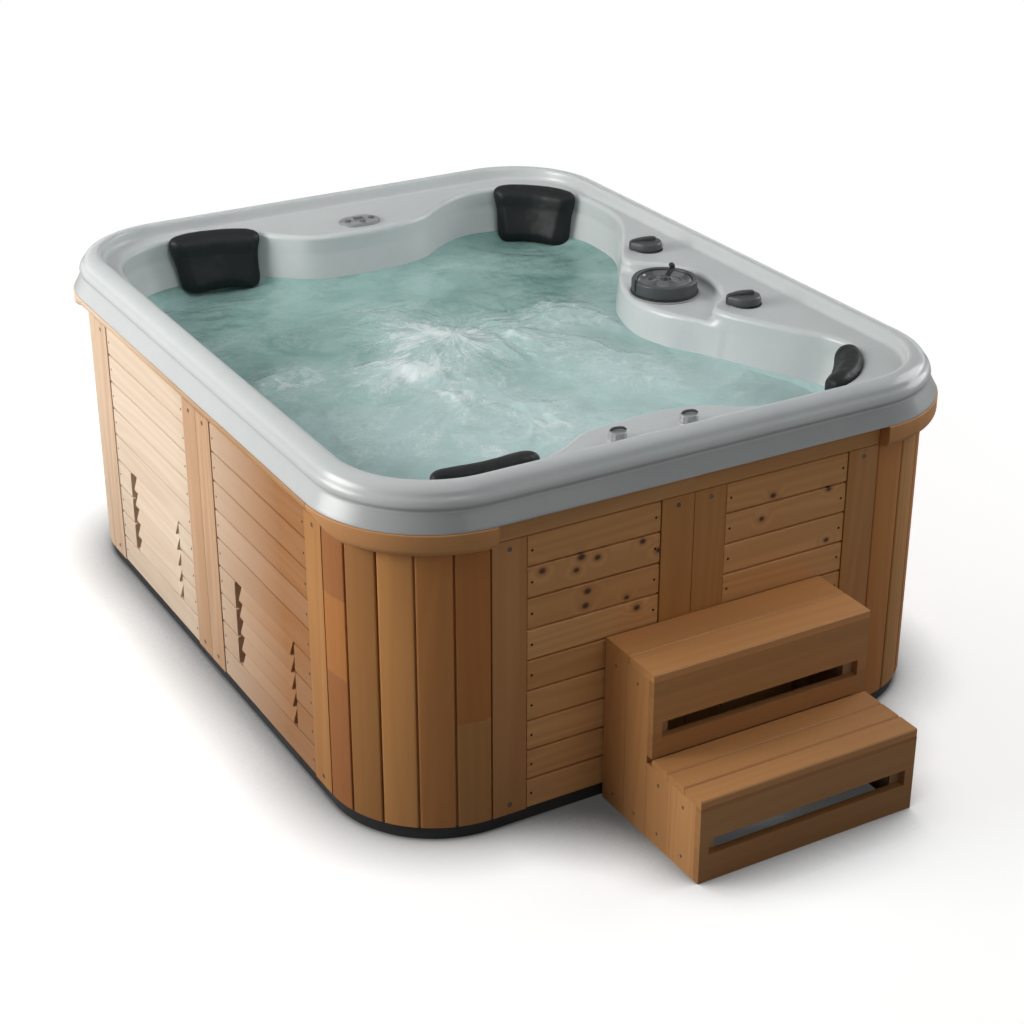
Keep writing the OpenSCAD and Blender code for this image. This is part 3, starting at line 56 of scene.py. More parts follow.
class Wire:
    """A shader node's output. Each method adds a node that takes it further, and gives that node's output."""

    def __init__(self, socket):
        self.socket = socket

    def node(self, kind, inputs=(), out=0, **settings):
        """Any node: its inputs as numbers or wires, the output that is wanted, and its settings."""
        made = self.socket.id_data.nodes.new("ShaderNode" + kind)
        for key, value in settings.items():
            setattr(made, key, value)
        feed(made, inputs)
        return Wire(made.outputs[out])

    def also(self, out):
        """Another output of the same node."""
        return Wire(self.socket.node.outputs[out])

    def number(self, value):
        """A plain number as a wire."""
        return self.node("Math", {0: value, 1: 0.0}, operation="ADD")

    def maths(self, kind, *others):
        """Arithmetic with other wires or numbers."""
        return self.node("Math", enumerate((self, *others)), operation=kind)

    __add__ = partialmethod(maths, "ADD")
    __sub__ = partialmethod(maths, "SUBTRACT")
    __mul__ = partialmethod(maths, "MULTIPLY")
    __truediv__ = partialmethod(maths, "DIVIDE")
    __pow__ = partialmethod(maths, "POWER")
    least = partialmethod(maths, "MINIMUM")
    most = partialmethod(maths, "MAXIMUM")

    def vector(self, kind, other=(0, 0, 0)):
        """Vector arithmetic with another vector, or with a number to scale by."""
        as_number = int(kind in ("LENGTH", "DOT_PRODUCT"))
        return self.node("VectorMath", {0: self, 3 if kind == "SCALE" else 1: other}, as_number,
                         operation=kind)

    def parts(self):
        """The three numbers of a vector."""
        x = self.node("SeparateXYZ", {0: self})
        return x, x.also(1), x.also(2)

    def spread(self, low, high, start, end):
        """Number carried from low..high to start..end, and held there."""
        return self.node("MapRange", {0: self, 1: low, 2: high, 3: start, 4: end})

    def mix(self, first, second):
        """Colour between two: first + this share of (second - first)."""
        first, second = ((*c, 1) if isinstance(c, tuple) else c for c in (first, second))
        return self.node("Mix", {0: self, 6: first, 7: second}, 2, data_type="RGBA")

    def noise(self, scale, detail=4.0, rough=0.55, stretch=(1, 1, 1)):
        """Fractal noise over this place times stretch, in parts per metre."""
        place = self.node("Mapping", {0: self, 3: stretch})
        return self.node("TexNoise", {"Vector": place, "Scale": scale, "Detail": detail, "Roughness": rough})

    def bump(self, strength, height):
        """Normal of a skin that rises by this share of a height."""
        return self.node("Bump", {"Height": self, "Strength": strength, "Distance": height})


def graph(name):
    """A new material, its shader, and the wire of the piece's own place."""
    material = bpy.data.materials.new(name)
    material.use_nodes = True
    shader = material.node_tree.nodes["Principled BSDF"]
    return material, shader, Wire(shader.outputs[0]).node("TexCoord", out="Object")


def moulded(name, light, dark, rough, grain, relief, metal=0.0, coat=0.0, stretch=(1, 1, 1), shine=0.5):
    """Plastic, rubber or metal: two shades that drift over the piece, a fine skin, and wear in its gloss.
    shine is the strength of its surface's own reflection."""
    material, shader, place = graph(name)
    cloud = place.noise(9.0, 3.0, stretch=stretch).spread(0.3, 0.7, 0.0, 1.0)
    wear = place.noise(40.0, stretch=stretch).spread(0.25, 0.75, rough * 0.8, rough * 1.2)
    feed(shader, {"Base Color": cloud.mix(dark, light), "Roughness": wear, "Metallic": metal,
                  "Coat Weight": coat, "Coat Roughness": 0.08, "Specular IOR Level": shine,
                  "Normal": place.noise(grain, 2.0, stretch=stretch).bump(0.35, relief)})
    return material


def dress(names, material):
    """Gives CAD nodes a material."""
    for name in names.split():
        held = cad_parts[name].data.materials
        held.clear()
        held.append(material)


pan_black = moulded("pan_black", (0.022, 0.022, 0.024), (0.010, 0.010, 0.011), 0.55, 700, pan_rib * 0.1)
dress("base_pan", pan_black)


# Timber frame: sawn pale softwood rails, studs and bent plywood formers, screwed together.
# It stands inside the pan's rim, carries the shell's deck and backs the cladding.
def timber(name, along, pale, warm, dark, cells=(), ring=26.0, knots=(), stray=0.0, rough=0.5, tint=0.5,
           drift=None, contrast=0.34, shine=0.5):
    """Wood, with its grain along one axis. Growth rings are bands of the distance from a pith line that
    wanders beside the piece; fibres are noise drawn out along the grain. cells cuts the stock into pieces,
    each (axis, first edge, pitch), and each piece takes its own shade and its own pith. A knot (x, z, size)
    turns the rings round itself and darkens to its middle; stray is the share of spots that hold a knot by
    chance. contrast is the rings' share of dark, tint how far a piece's shade may go from pale to warm, and
    shine the strength of its reflection. drift is (way, low, high, share): the tone warms by share as place
    along way goes from low to high, a painted fall of light across the cabinet. Near the floor all of it is
    darker: a painted shade."""
    material, shader, place = graph(name)
    split = place.parts()
    seed = 0.37
    piece = place.number(seed)
    for (axis, edge, pitch), weight in zip(cells, (1.0, 17.0, 131.0)):
        piece += ((split[axis] - edge) / pitch).maths("FLOOR") * weight
    own = place.node("TexWhiteNoise", {"W": piece}, "Value", noise_dimensions="1D")
    own_place = place.vector("ADD", own.also("Color").vector("SCALE", 3.0))
    long, fine = [7.0] * 3, [1.0] * 3
    long[along], fine[along] = 0.55, 0.03
    wander = own_place.noise(1.0, 2.0, 0.45, long)
    first, second = (part for axis, part in enumerate(own_place.parts()) if axis != along)
    radius = (first ** 2.0 + second ** 2.0 * 1.6).maths("SQRT") + wander * 0.34
    near = place.number(10.0)
    for x, z, size in knots:
        off = place.vector("MULTIPLY", (1, 0, 1)).vector("SUBTRACT", (x, 0, z))
        near = near.least(off.vector("MULTIPLY", (1 / size / 1.25, 1, 1 / size)).vector("LENGTH"))
    if stray:
        cell = place.node("TexVoronoi", {"Vector": own_place, "Scale": 5.2, "Randomness": 1.0}, "Distance")
        rare = place.node("SeparateColor", {0: cell.also("Color")})
        near = near.least(cell / rare.spread(1.0 - stray, 1.0, 0.0, 0.045).most(0.0001))
    swirl = near.spread(0.6, 4.5, 1.0, 0.0) * 0.05
    saw = ((radius + swirl) * ring).maths("FRACT")
    late = (saw * 3.14159).maths("SINE") ** 1.6
    fibre = own_place.noise(420.0, 3.0, stretch=fine)
    broad = own_place.noise(46.0, 3.0, stretch=fine)
    streak = (late * 0.5 + broad * 0.7 + fibre * 0.3).spread(0.35, 1.25, 0.0, 1.0)
    shade = own
    if drift:
        way, low, high, share = drift
        shade = own * (1 - share) + place.vector("DOT_PRODUCT", way).spread(low, high, 0.0, share)
    knot_and_floor_shade = tuple(0.16 * c for c in dark)
    tone = (streak * contrast).mix((shade * (tint * 2)).mix(pale, warm), dark)
    tone = near.spread(1.0, 2.4, 0.45, 0.0).mix(tone, dark)
    tone = near.spread(0.55, 1.25, 1.0, 0.0).mix(tone, knot_and_floor_shade)
    # Darker towards the floor, darkest at the foot: a painted shade
    tone = split[2].spread(0.03, 0.50, 0.24, 0.0).mix(tone, knot_and_floor_shade)
    feed(shader, {"Base Color": tone, "Roughness": streak.spread(0, 1, rough, rough + 0.18),
                  "Specular IOR Level": shine, "Normal": (fibre * 0.5 - streak).bump(0.3, 0.0006)})
    return material


sawn_pale = (0.66, 0.50, 0.33)
sawn_warm = (0.55, 0.38, 0.22)
sawn_dark = (0.36, 0.21, 0.10)
dress("frame_rails shell_cradle corner_formers",
      timber("sawn_rails", 0, sawn_pale, sawn_warm, sawn_dark, [(1, 0, 0.09)], stray=0.1))
dress("wall_studs panel_battens vent_bars",
      timber("sawn_studs", 2, sawn_pale, sawn_warm, sawn_dark, [(0, 0, 0.12), (1, 0, 0.12)], stray=0.1))


# Machinery: a wet-end pump, blower, heater tube, control box and glued pipes in the left bay.
# They are bolted to the pan behind the vents, and hardly show through the slats.
dress("pump_motor pump_volute",
      moulded("motor_paint", (0.05, 0.055, 0.06), (0.03, 0.03, 0.035), 0.4, 500, 0.0003))
dress("pump_impeller air_blower",
      moulded("blower_plastic", (0.09, 0.09, 0.1), (0.05, 0.05, 0.055), 0.5, 600, 0.0003))
dress("heater", moulded("brushed_tube", (0.62, 0.62, 0.62), (0.45, 0.45, 0.46), 0.3, 900, 0.0001,
                        metal=1.0, stretch=(1, 0.03, 1)))
dress("control_box", moulded("box_enamel", (0.20, 0.21, 0.22), (0.14, 0.145, 0.15), 0.45, 400, 0.0004))
dress("pipework air_valves jet_bodies suction_covers",
      moulded("pipe_plastic", (0.74, 0.74, 0.71), (0.60, 0.60, 0.57), 0.35, 300, 0.0002))


# Shell: one sheet of acrylic, vacuum-formed over a mould and backed with resin and glass.
# Rim, deck, filter bay and basin are one skin, whose turned-down lip hides the timber's top.
half_x = 0.815
half_y = 1.02
corner_r = 0.28
deck_z = 0.875
shelf_z = 0.840
seat_z = 0.450
floor_z = 0.150
foot_middle = np.array([-0.055, -0.035])
basin_marks = np.array([
    [-0.735, 0.0], [-0.735, 0.34], [-0.732, 0.62], [-0.7, 0.79], [-0.615, 0.885], [-0.5, 0.918],
    [-0.38, 0.915], [-0.285, 0.875], [-0.22, 0.8], [-0.14, 0.738], [-0.01, 0.718], [0.12, 0.722],
    [0.225, 0.752], [0.31, 0.815], [0.4, 0.872], [0.5, 0.888], [0.6, 0.862], [0.685, 0.785],
    [0.73, 0.68], [0.737, 0.56], [0.712, 0.43], [0.64, 0.3], [0.55, 0.17], [0.47, 0.04],
    [0.435, -0.09], [0.45, -0.2], [0.505, -0.31], [0.56, -0.43], [0.62, -0.545], [0.672, -0.64],
    [0.68, -0.73], [0.64, -0.81], [0.56, -0.88], [0.45, -0.92], [0.33, -0.925], [0.23, -0.893],
    [0.14, -0.835], [0.04, -0.812], [-0.08, -0.813], [-0.19, -0.83], [-0.28, -0.88], [-0.39, -0.915],
    [-0.52, -0.918], [-0.64, -0.88], [-0.712, -0.79], [-0.735, -0.64], [-0.735, -0.33]])


def unit(vectors):
    """Vectors over their lengths."""
    return vectors / np.linalg.norm(vectors, axis=-1, keepdims=True)


def cubic(a, b, c, d, steps):
    """Points from marks b to marks c, whose neighbours are a and d:
    p(t) = (2b + (c-a)t + (2a-5b+4c-d)t^2 + (3b-a-3c+d)t^3) / 2."""
    a, b, c, d = (marks[:, None] for marks in (a, b, c, d))
    t = np.linspace(0, 1, steps, endpoint=False)[None, :, None]
    curve = (2 * b + (c - a) * t + (2 * a - 5 * b + 4 * c - d) * t**2 + (3 * b - a - 3 * c + d) * t**3) / 2
    return curve.reshape(-1, b.shape[-1])


def through(marks, steps):
    """Smooth closed curve through marks."""
    return cubic(*(np.roll(marks, -k, axis=0) for k in (-1, 0, 1, 2)), steps)


def run_length(loop):
    """Distance along a closed loop at each point, with the whole way round as a last value."""
    steps = np.linalg.norm(np.roll(loop, -1, axis=0) - loop, axis=1)
    return np.concatenate([[0], np.cumsum(steps)])


def spaced(loop, where):
    """Points of a closed loop at the distances in where."""
    at = run_length(loop)
    closed = np.vstack([loop, loop[:1]])
    where = np.mod(where, at[-1])
    return np.stack([np.interp(where, at, closed[:, k]) for k in range(loop.shape[1])], axis=1)


def evenly(loop, count):
    """That many points of a closed loop, the same distance apart."""
    return spaced(loop, np.linspace(0, run_length(loop)[-1], count, endpoint=False))


def outward(loop):
    """Unit normal of a clockwise loop: (-dy, dx) / length, from the two neighbours."""
    d = np.roll(loop, -1, axis=0) - np.roll(loop, 1, axis=0)
    return unit(np.stack([-d[:, 1], d[:, 0]], axis=1))


def eased(loop, width):
    """Loop blurred by a bell of that width, in points."""
    k = np.arange(-4 * width, 4 * width + 1)
    bell = np.exp(-0.5 * (k / width) ** 2)
    bell /= bell.sum()
    wrapped = np.vstack([loop[-len(k):], loop, loop[:len(k)]])
    soft = np.stack([np.convolve(wrapped[:, a], bell, "same") for a in range(loop.shape[1])], axis=1)
    return soft[len(k):-len(k)]


def skin(name, rows, ring=True, loop=False, ends=(False, False), smooth=True, sharp=None, turned=False):
    """Mesh over a grid of points. Its face (i, j) joins rows[i, j], rows[i, j+1], rows[i+1, j+1] and
    rows[i+1, j]; ring joins last column to first, loop joins last row to first, and each of ends
    closes that row with a fan round its mean."""
    rows = np.asarray(rows, float)
    m, n = rows.shape[:2]
    i, j = np.meshgrid(np.arange(m if loop else m - 1), np.arange(n if ring else n - 1), indexing="ij")
    i, j = i.ravel(), j.ravel()
    i2, j2 = (i + 1) % m, (j + 1) % n
    faces = np.stack([i * n + j, i * n + j2, i2 * n + j2, i2 * n + j], axis=1).tolist()
    points = rows.reshape(-1, 3)
    for which, row in ((0, 0), (1, m - 1)):
        if ends[which]:
            k = np.arange(n if ring else n - 1)
            k2 = (k + 1) % n
            pair = (k2, k) if which == 0 else (k, k2)
            hub = np.full(len(k), len(points))
            faces += np.stack([row * n + pair[0], row * n + pair[1], hub], axis=1).tolist()
            points = np.vstack([points, rows[row].mean(axis=0)])
    if turned:
        faces = [face[::-1] for face in faces]
    mesh = bpy.data.meshes.new(name)
    mesh.from_pydata(points, [], faces)
    mesh.polygons.foreach_set("use_smooth", np.full(len(faces), smooth))
    if sharp:
        mesh.set_sharp_from_angle(angle=math.radians(sharp))
    piece = bpy.data.objects.new(name, mesh)
    bpy.context.scene.collection.objects.link(piece)
    return piece


def settle(piece, material, body, slot, *nodes):
    """Gives a new piece its material and its body, and hides the CAD nodes that it stands for; slot, the name
    of its finish, is not used.
    """
    piece.data.materials.append(material)
    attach(piece, body)
    if nodes:
        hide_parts(*nodes)
    return piece


def from_corners(plan):
    """Outward direction in the cabinet's plan: away from the nearest point of the rectangle that joins the
    corners' centres."""
    inner = np.array([half_x - corner_r, half_y - corner_r])
    return unit(plan - np.clip(plan, -inner, inner))


def quarter(centre, radius, start, count):
    """Points on a quarter circle about a centre, clockwise from an angle."""
    turn = start - np.linspace(0, np.pi / 2, count)
    return centre + radius * np.stack([np.cos(turn), np.sin(turn)], axis=1)


around = 840
basin_fine = through(basin_marks, 24)
basin_at = run_length(basin_fine)
corners = [quarter([sx * (half_x - corner_r), sy * (half_y - corner_r)], corner_r, np.pi - k * np.pi / 2, 40)
           for k, (sx, sy) in enumerate(((-1, 1), (1, 1), (1, -1), (-1, -1)))]
outer_loop = evenly(np.vstack([[[-half_x, 0]], *corners]), 3600)
outer_at = run_length(outer_loop)
outer_len = outer_at[-1]
rim_width = 0.0615
rim_inner = outer_loop - rim_width * from_corners(outer_loop)
apart = np.linalg.norm(basin_fine[:, None] - rim_inner[None], axis=2)
met = np.maximum.accumulate(np.unwrap(outer_at[apart.argmin(axis=1)], period=outer_len))
even_run = np.arange(len(met)) * outer_len / len(met)
met = even_run + eased((met - even_run)[:, None], 14)[:, 0]
place_outer = np.linspace(0, outer_len, around, endpoint=False)
three_times = np.concatenate([met - outer_len, met, met + outer_len])
basin_three = np.concatenate([basin_at[:-1] + k * basin_at[-1] for k in (-1, 0, 1)])
place_basin = np.interp(place_outer, three_times, basin_three)
rim_line = spaced(outer_loop, place_outer)
rim_out = from_corners(rim_line)
basin_edge = spaced(basin_fine, place_basin)
basin_out = outward(eased(basin_edge, 2))

# The filter's bay: a rounded pocket in the deck, open to the basin
bay_low = np.array([0.278, -0.29])
bay_high = np.array([0.66, 0.082])
bay_r = 0.1
bay_mouth = 0.4
in_bay = (basin_edge[:, 0] > bay_mouth) & (basin_edge[:, 1] < bay_high[1]) & (basin_edge[:, 1] > bay_low[1])
first, last = np.flatnonzero(in_bay)[[0, -1]]
bay_line = np.vstack([
    [[basin_edge[first, 0], bay_high[1]]], quarter(bay_high - bay_r, bay_r, np.pi / 2, 24),
    quarter([bay_high[0] - bay_r, bay_low[1] + bay_r], bay_r, 0, 24), [[basin_edge[last, 0], bay_low[1]]]])
bay_at = np.concatenate([[0], np.cumsum(np.linalg.norm(np.diff(bay_line, axis=0), axis=1))])
bay_share = np.linspace(0, bay_at[-1], last - first + 1)
deck_edge = basin_edge.copy()
deck_edge[first:last + 1] = np.stack([np.interp(bay_share, bay_at, bay_line[:, k]) for k in (0, 1)], axis=1)
from_mouth = np.abs(np.abs(np.arange(around) - (first + last) / 2) - (last - first) / 2)
blend_reach, blend_run = 34, 12
blend_in = np.clip((blend_reach - from_mouth) / blend_run, 0, 1)[:, None]
deck_edge += blend_in * (eased(deck_edge, 7) - deck_edge)
deck_out = outward(eased(deck_edge, 2))
pocket = np.linalg.norm(deck_edge - basin_edge, axis=1)
pocket[pocket < 0.004] = 0
basin_edge = np.where(pocket[:, None] > 0, basin_edge, deck_edge)


def footwell(way):
    """The footwell's edge in a direction: the point of a squared oval, |x / a|^n + |y / b|^n = 1."""
    half, square = [0.29, 0.43], 4.5
    return foot_middle + way * ((np.abs(way / half) ** square).sum(axis=-1) ** (-1 / square))[..., None]


reach = unit(basin_edge - foot_middle)
foot_edge = footwell(reach)


def level(plan, height):
    """Row of points at plan, at a height or heights."""
    return np.column_stack([plan, np.broadcast_to(height, len(plan))])


def rim_row(out, height):
    """The rim's line moved outwards by out, at a height."""
    return level(rim_line + out * rim_out, height)


bay_lip_z = shelf_z - 0.008
wall_h = bay_lip_z - seat_z
foot_h = seat_z - floor_z
basin_rows = np.array([
    [0, bay_lip_z, 1], [0.025, seat_z + 0.82 * wall_h, 1], [0.07, seat_z + 0.55 * wall_h, 1],
    [0.14, seat_z + 0.31 * wall_h, 1], [0.22, seat_z + 0.14 * wall_h, 1], [0.31, seat_z + 0.045 * wall_h, 1],
    [0.42, seat_z, 1], [0.88, seat_z, 1], [0.96, seat_z - 0.03 * foot_h, 1], [1, seat_z - 0.1 * foot_h, 1],
    [1, floor_z + 0.25 * foot_h, 0.98], [1, floor_z + 0.08 * foot_h, 0.95], [1, floor_z, 0.86]])


def basin_row(share, height, size, grown=0.0):
    """Basin's outline, share of the way to the footwell's, sized about the footwell's middle, and grown."""
    plan = basin_edge + (foot_edge - basin_edge) * share
    plan = foot_middle + (plan - foot_middle) * size
    return level(plan + unit(basin_out * (1 - share) + reach * share) * grown, height)


lip = [(0.0255, 0.8140), (0.0262, 0.8124), (0.0275, 0.8120), (0.0305, 0.8120), (0.0318, 0.8128),
       (0.0314, 0.8145), (0.0290, 0.8190), (0.0215, 0.8335), (0.0150, 0.8460), (0.0117, 0.8518),
       (0.0104, 0.8548), (0.0101, 0.8574), (0.0107, 0.8596), (0.0119, 0.8614), (0.0128, 0.8634)]
arc = np.radians(np.linspace(8, 85, 17))
dip = 1 - 0.05 * np.exp(-((arc - 0.62) / 0.16) ** 2)
crown = list(zip(-0.040 + 0.054 * np.cos(arc) * dip, 0.859 + 0.051 * np.sin(arc) * dip))
inside = [(-0.037, 0.9099), (-0.041, 0.9094), (-0.0445, 0.9078), (-0.0470, 0.9050), (-0.0485, 0.901),
          (-0.0500, 0.893), (-0.0512, 0.885), (-0.0528, 0.8795), (-0.0555, 0.8765), (-0.0600, 0.8752)]
rows = [rim_row(out, height) for out, height in lip + crown + inside]

deck_start = rim_line - rim_width * rim_out
spare = ((deck_start - deck_edge) * deck_out).sum(axis=1)
fillet = np.clip(spare - 0.002, 0.002, 0.014)[:, None]
deck_stop = deck_edge + fillet * deck_out
for share in (0.0, 0.03, 0.1, 0.25, 0.45, 0.65, 0.82, 0.93, 0.98, 1.0):
    rows.append(level(deck_start + (deck_stop - deck_start) * share, deck_z))
for a in np.radians(np.linspace(11.25, 90, 8)):
    rows.append(level(deck_edge + fillet * (1 - np.sin(a)) * deck_out,
                      deck_z - fillet[:, 0] * (1 - np.cos(a))))
hollow = 0.013
rows.append(level(deck_edge, 0.5 * (deck_z - 0.014 + shelf_z + hollow)))
rows.append(level(deck_edge, shelf_z + hollow))
open_share = np.clip(pocket / (2 * hollow + 0.01), 0, 1)
for share in np.concatenate([[0.03, 0.08, 0.15], np.linspace(0.25, 0.75, 6), [0.85, 0.92, 0.97, 1.0]]):
    near = np.clip(pocket * share, 0, hollow)
    far = np.clip(pocket * (1 - share), 0, hollow)
    lifted = np.sqrt(hollow**2 - (hollow - far) ** 2) - np.sqrt(hollow**2 - (hollow - near) ** 2)
    slid = hollow * (1 - 2 * share)
    rows.append(level(deck_edge + (basin_edge - deck_edge) * share,
                      shelf_z + open_share * lifted + (1 - open_share) * slid))
for share, height, size in ((0, shelf_z - 0.02, 1), (0.004, 0.812, 1), (0.011, 0.795, 1), (0.018, 0.775, 1)):
    rows.append(basin_row(share, height, size))
for k, (a, b) in enumerate(zip(basin_rows[:-1], basin_rows[1:])):
    steps = 2 if 1 <= k <= 8 else 1
    rows += [basin_row(*(a + (b - a) * (s + 1) / steps)) for s in range(steps)]
rows.append(basin_row(1, floor_z, 0.4))
thick = 0.008
rail_z = 0.832
under = [basin_row(1, floor_z - thick, 0.4), basin_row(1, floor_z - thick, 0.86, 0.002),
         basin_row(1, 0.225, 0.98, thick), basin_row(1, 0.42, 1, thick), basin_row(0.88, seat_z - thick, 1),
         basin_row(0.42, seat_z - thick, 1), basin_row(0.22, seat_z + 0.14 * wall_h - 0.005, 1, 0.006),
         basin_row(0.07, seat_z + 0.55 * wall_h, 1, thick), basin_row(0, rail_z, 1, thick),
         level(deck_edge + thick * deck_out, rail_z), level(deck_edge + thick * deck_out, deck_z - thick)]
rim_under = [(-0.046, deck_z - thick), (-0.044, 0.901), (-0.030, 0.901), (-0.012, 0.889), (0.002, 0.868),
             (0.005, 0.853), (0.013, 0.838)]
under += [rim_row(out, height) for out, height in rim_under]
shell = skin("moulded_shell", np.array(rows + under), loop=True, sharp=60)


# The turned-down lip is painted a darker grey than the crest, most of all at the front: a painted shade
lip_painted_shade = np.zeros(len(rows + under))
lip_painted_shade[:len(lip) - 5] = 1
lip_painted_shade[len(lip) - 5:len(lip + crown)] = np.linspace(0.5, 0, 5 + len(crown))
lip_painted_shade = lip_painted_shade[:, None] * (0.3 + 0.7 * np.clip(-rim_out[:, 1], 0, 1))
lip_shade_layer = shell.data.attributes.new("lip", "FLOAT", "POINT")
lip_shade_layer.data.foreach_set("value", lip_painted_shade.ravel().astype(np.float32))


def acrylic(name):
    """Glossy pale grey sheet: a faint marbled drift, under a clear coat that keeps every highlight sharp.
    Its tone goes 0.42 of the way to dark where the lip's attribute is 1, a painted shade on the lip."""
    material, shader, place = graph(name)
    vein = place.noise(38.0, 6.0, 0.7)
    marble = (place.noise(5.0, 5.0, 0.6) * 0.6 + vein * 0.4).spread(0.35, 0.65, 0.0, 1.0)
    painted_lip_shade = place.node("Attribute", out="Fac", attribute_name="lip") * 0.42
    tone = painted_lip_shade.mix(marble.mix((0.574, 0.604, 0.608), (0.606, 0.636, 0.637)), (0.05, 0.055, 0.055))
    feed(shader, {"Base Color": tone, "Roughness": vein.spread(0.3, 0.7, 0.21, 0.235),
                  "Specular IOR Level": 0.30, "Coat Weight": 0.22, "Coat Roughness": 0.10,
                  "Normal": place.noise(55.0, 1.0).bump(0.12, 0.0008)})
    return material


settle(shell, acrylic("acrylic_sheet"), "tub", "acrylic", "shell_rim", "shell_walls", "shell_seats",
       "shell_footwell")


# Cladding boards: softwood boards with rounded edges, laid level between the stiles.
# Each is nailed near both ends to the battens behind it, with an open groove to the next.
oil_pale = (0.74, 0.40, 0.160)
oil_warm = (0.58, 0.285, 0.100)
oil_dark = (0.31, 0.125, 0.038)
# The left wall's boards and vent slats take a paler palette than the oiled walls, and warm and darken from
# the far end to the near end: painted light of the left lamp and its fall-off along the wall
painted_lit_pale = (0.82, 0.68, 0.54)
painted_lit_warm = (0.36, 0.155, 0.055)
painted_lit_dark = (0.50, 0.33, 0.20)
painted_window_falloff = ((0, -1, 0), -0.16, 0.50, 0.92)
front_knots = [(-0.405, 0.655, 0.0075), (-0.316, 0.634, 0.0065), (-0.303, 0.664, 0.0085),
               (-0.260, 0.652, 0.0070), (-0.139, 0.662, 0.0070), (-0.094, 0.628, 0.0065),
               (-0.285, 0.572, 0.0085), (-0.290, 0.536, 0.0080), (-0.179, 0.527, 0.0060),
               (-0.150, 0.492, 0.0075), (0.226, 0.690, 0.0070), (0.196, 0.636, 0.0065),
               (0.392, 0.668, 0.0060), (0.395, 0.530, 0.0060), (0.482, 0.484, 0.0060)]
board_cells = [(2, 0.036, 0.08), (0, 0.0, 0.55)]
dress("front_boards", timber("front_boards_oiled", 0, oil_pale, oil_warm, oil_dark, board_cells,
                             knots=front_knots))
dress("back_boards", timber("back_boards_oiled", 0, oil_pale, oil_warm, oil_dark, board_cells, stray=0.2))
dress("right_boards", timber("right_boards_oiled", 1, oil_pale, oil_warm, oil_dark,
                             [(2, 0.036, 0.08), (1, 0.0, 0.75)], stray=0.2))
painted_lit_pieces = [("left_boards", "left_boards_pale", 0.036, 0.08, 0.06, 0.26),
               ("vent_louvres", "slats_pale", 0.116, 0.048, 0.0, 0.22)]
for piece, finish, edge, pitch, stray, contrast in painted_lit_pieces:
    dress(piece, timber(finish, 1, painted_lit_pale, painted_lit_warm, painted_lit_dark, [(2, edge, pitch), (1, 0.0, 0.75)],
                        drift=painted_window_falloff, stray=stray, contrast=contrast, rough=0.68, shine=0.12))


# Vent backing: a thin strip of the same softwood behind each end of the slats, glued behind the boards.
# The slats stop short of the boards on both sides, and the strip shows brown in those gaps.
backing_wood = timber("vent_backing", 2, (0.50, 0.30, 0.15), (0.40, 0.22, 0.10), (0.26, 0.13, 0.05),
                      [(1, 0.0, 0.37)], contrast=0.3)
strip_section = np.array([[0.121, 0.0224], [0.1216, 0.0209], [0.1231, 0.0204], [0.139, 0.0206],
                          [0.1565, 0.0207], [0.174, 0.0206], [0.1899, 0.0204], [0.1914, 0.0209],
                          [0.192, 0.0224], [0.192, 0.0240], [0.121, 0.0240]])
for panel_y in (-0.37, 0.37):
    for side in (-1, 1):
        strip_rows = [[(-half_x + depth, panel_y + side * far, z) for far, depth in strip_section]
                      for z in (0.100, 0.1004, 0.236, 0.3716, 0.372)]
        backing = skin(f"vent_backing_{'near' if panel_y < 0 else 'far'}_{'low' if side < 0 else 'high'}",
                       strip_rows, ends=(True, True), sharp=40, turned=side > 0)
        settle(backing, backing_wood, "tub", "timber")


# Stiles and top rails: planed softwood, thicker than the boards and a little proud of them.
# The stiles close each panel at its sides, and two countersunk screws hold each to its batten.
# Stiles and rails are painted paler at the far left, where the left lamp falls, and warmer elsewhere: painted
# light
dress("panel_stiles", timber("stiles_oiled", 2, (0.80, 0.60, 0.44), (0.48, 0.215, 0.055), oil_dark,
                             [(0, 0.0, 0.093), (1, 0.0, 0.093)], ring=20.0,
                             drift=((1, -0.35, 0), -1.06, -0.58, 0.9)))
dress("top_rails", timber("rails_oiled", 0, (0.84, 0.66, 0.50), (0.58, 0.30, 0.105), oil_dark,
                          [(1, 0, 1.0), (0, 0, 2.0)], ring=16.0, drift=((1, -0.35, 0), -1.10, -0.62, 0.9)))


# Corner staves: five coopered staves round each corner, each planed to the curve.
# A groove runs between them; screws from inside hold them to three bent formers.
stave_low = 0.036
stave_high = 0.826


def in_corner(turn_count, radius, angle):
    """Plan points at radius and angle about a corner's axis. Corners are counted by right angles from the
    back right one."""
    side = np.array([(1, 1), (-1, 1), (-1, -1), (1, -1)][turn_count])
    centre = side * [half_x - corner_r, half_y - corner_r]
    a = angle + turn_count * np.pi / 2
    return centre + radius[..., None] * np.stack([np.cos(a), np.sin(a)], axis=-1)


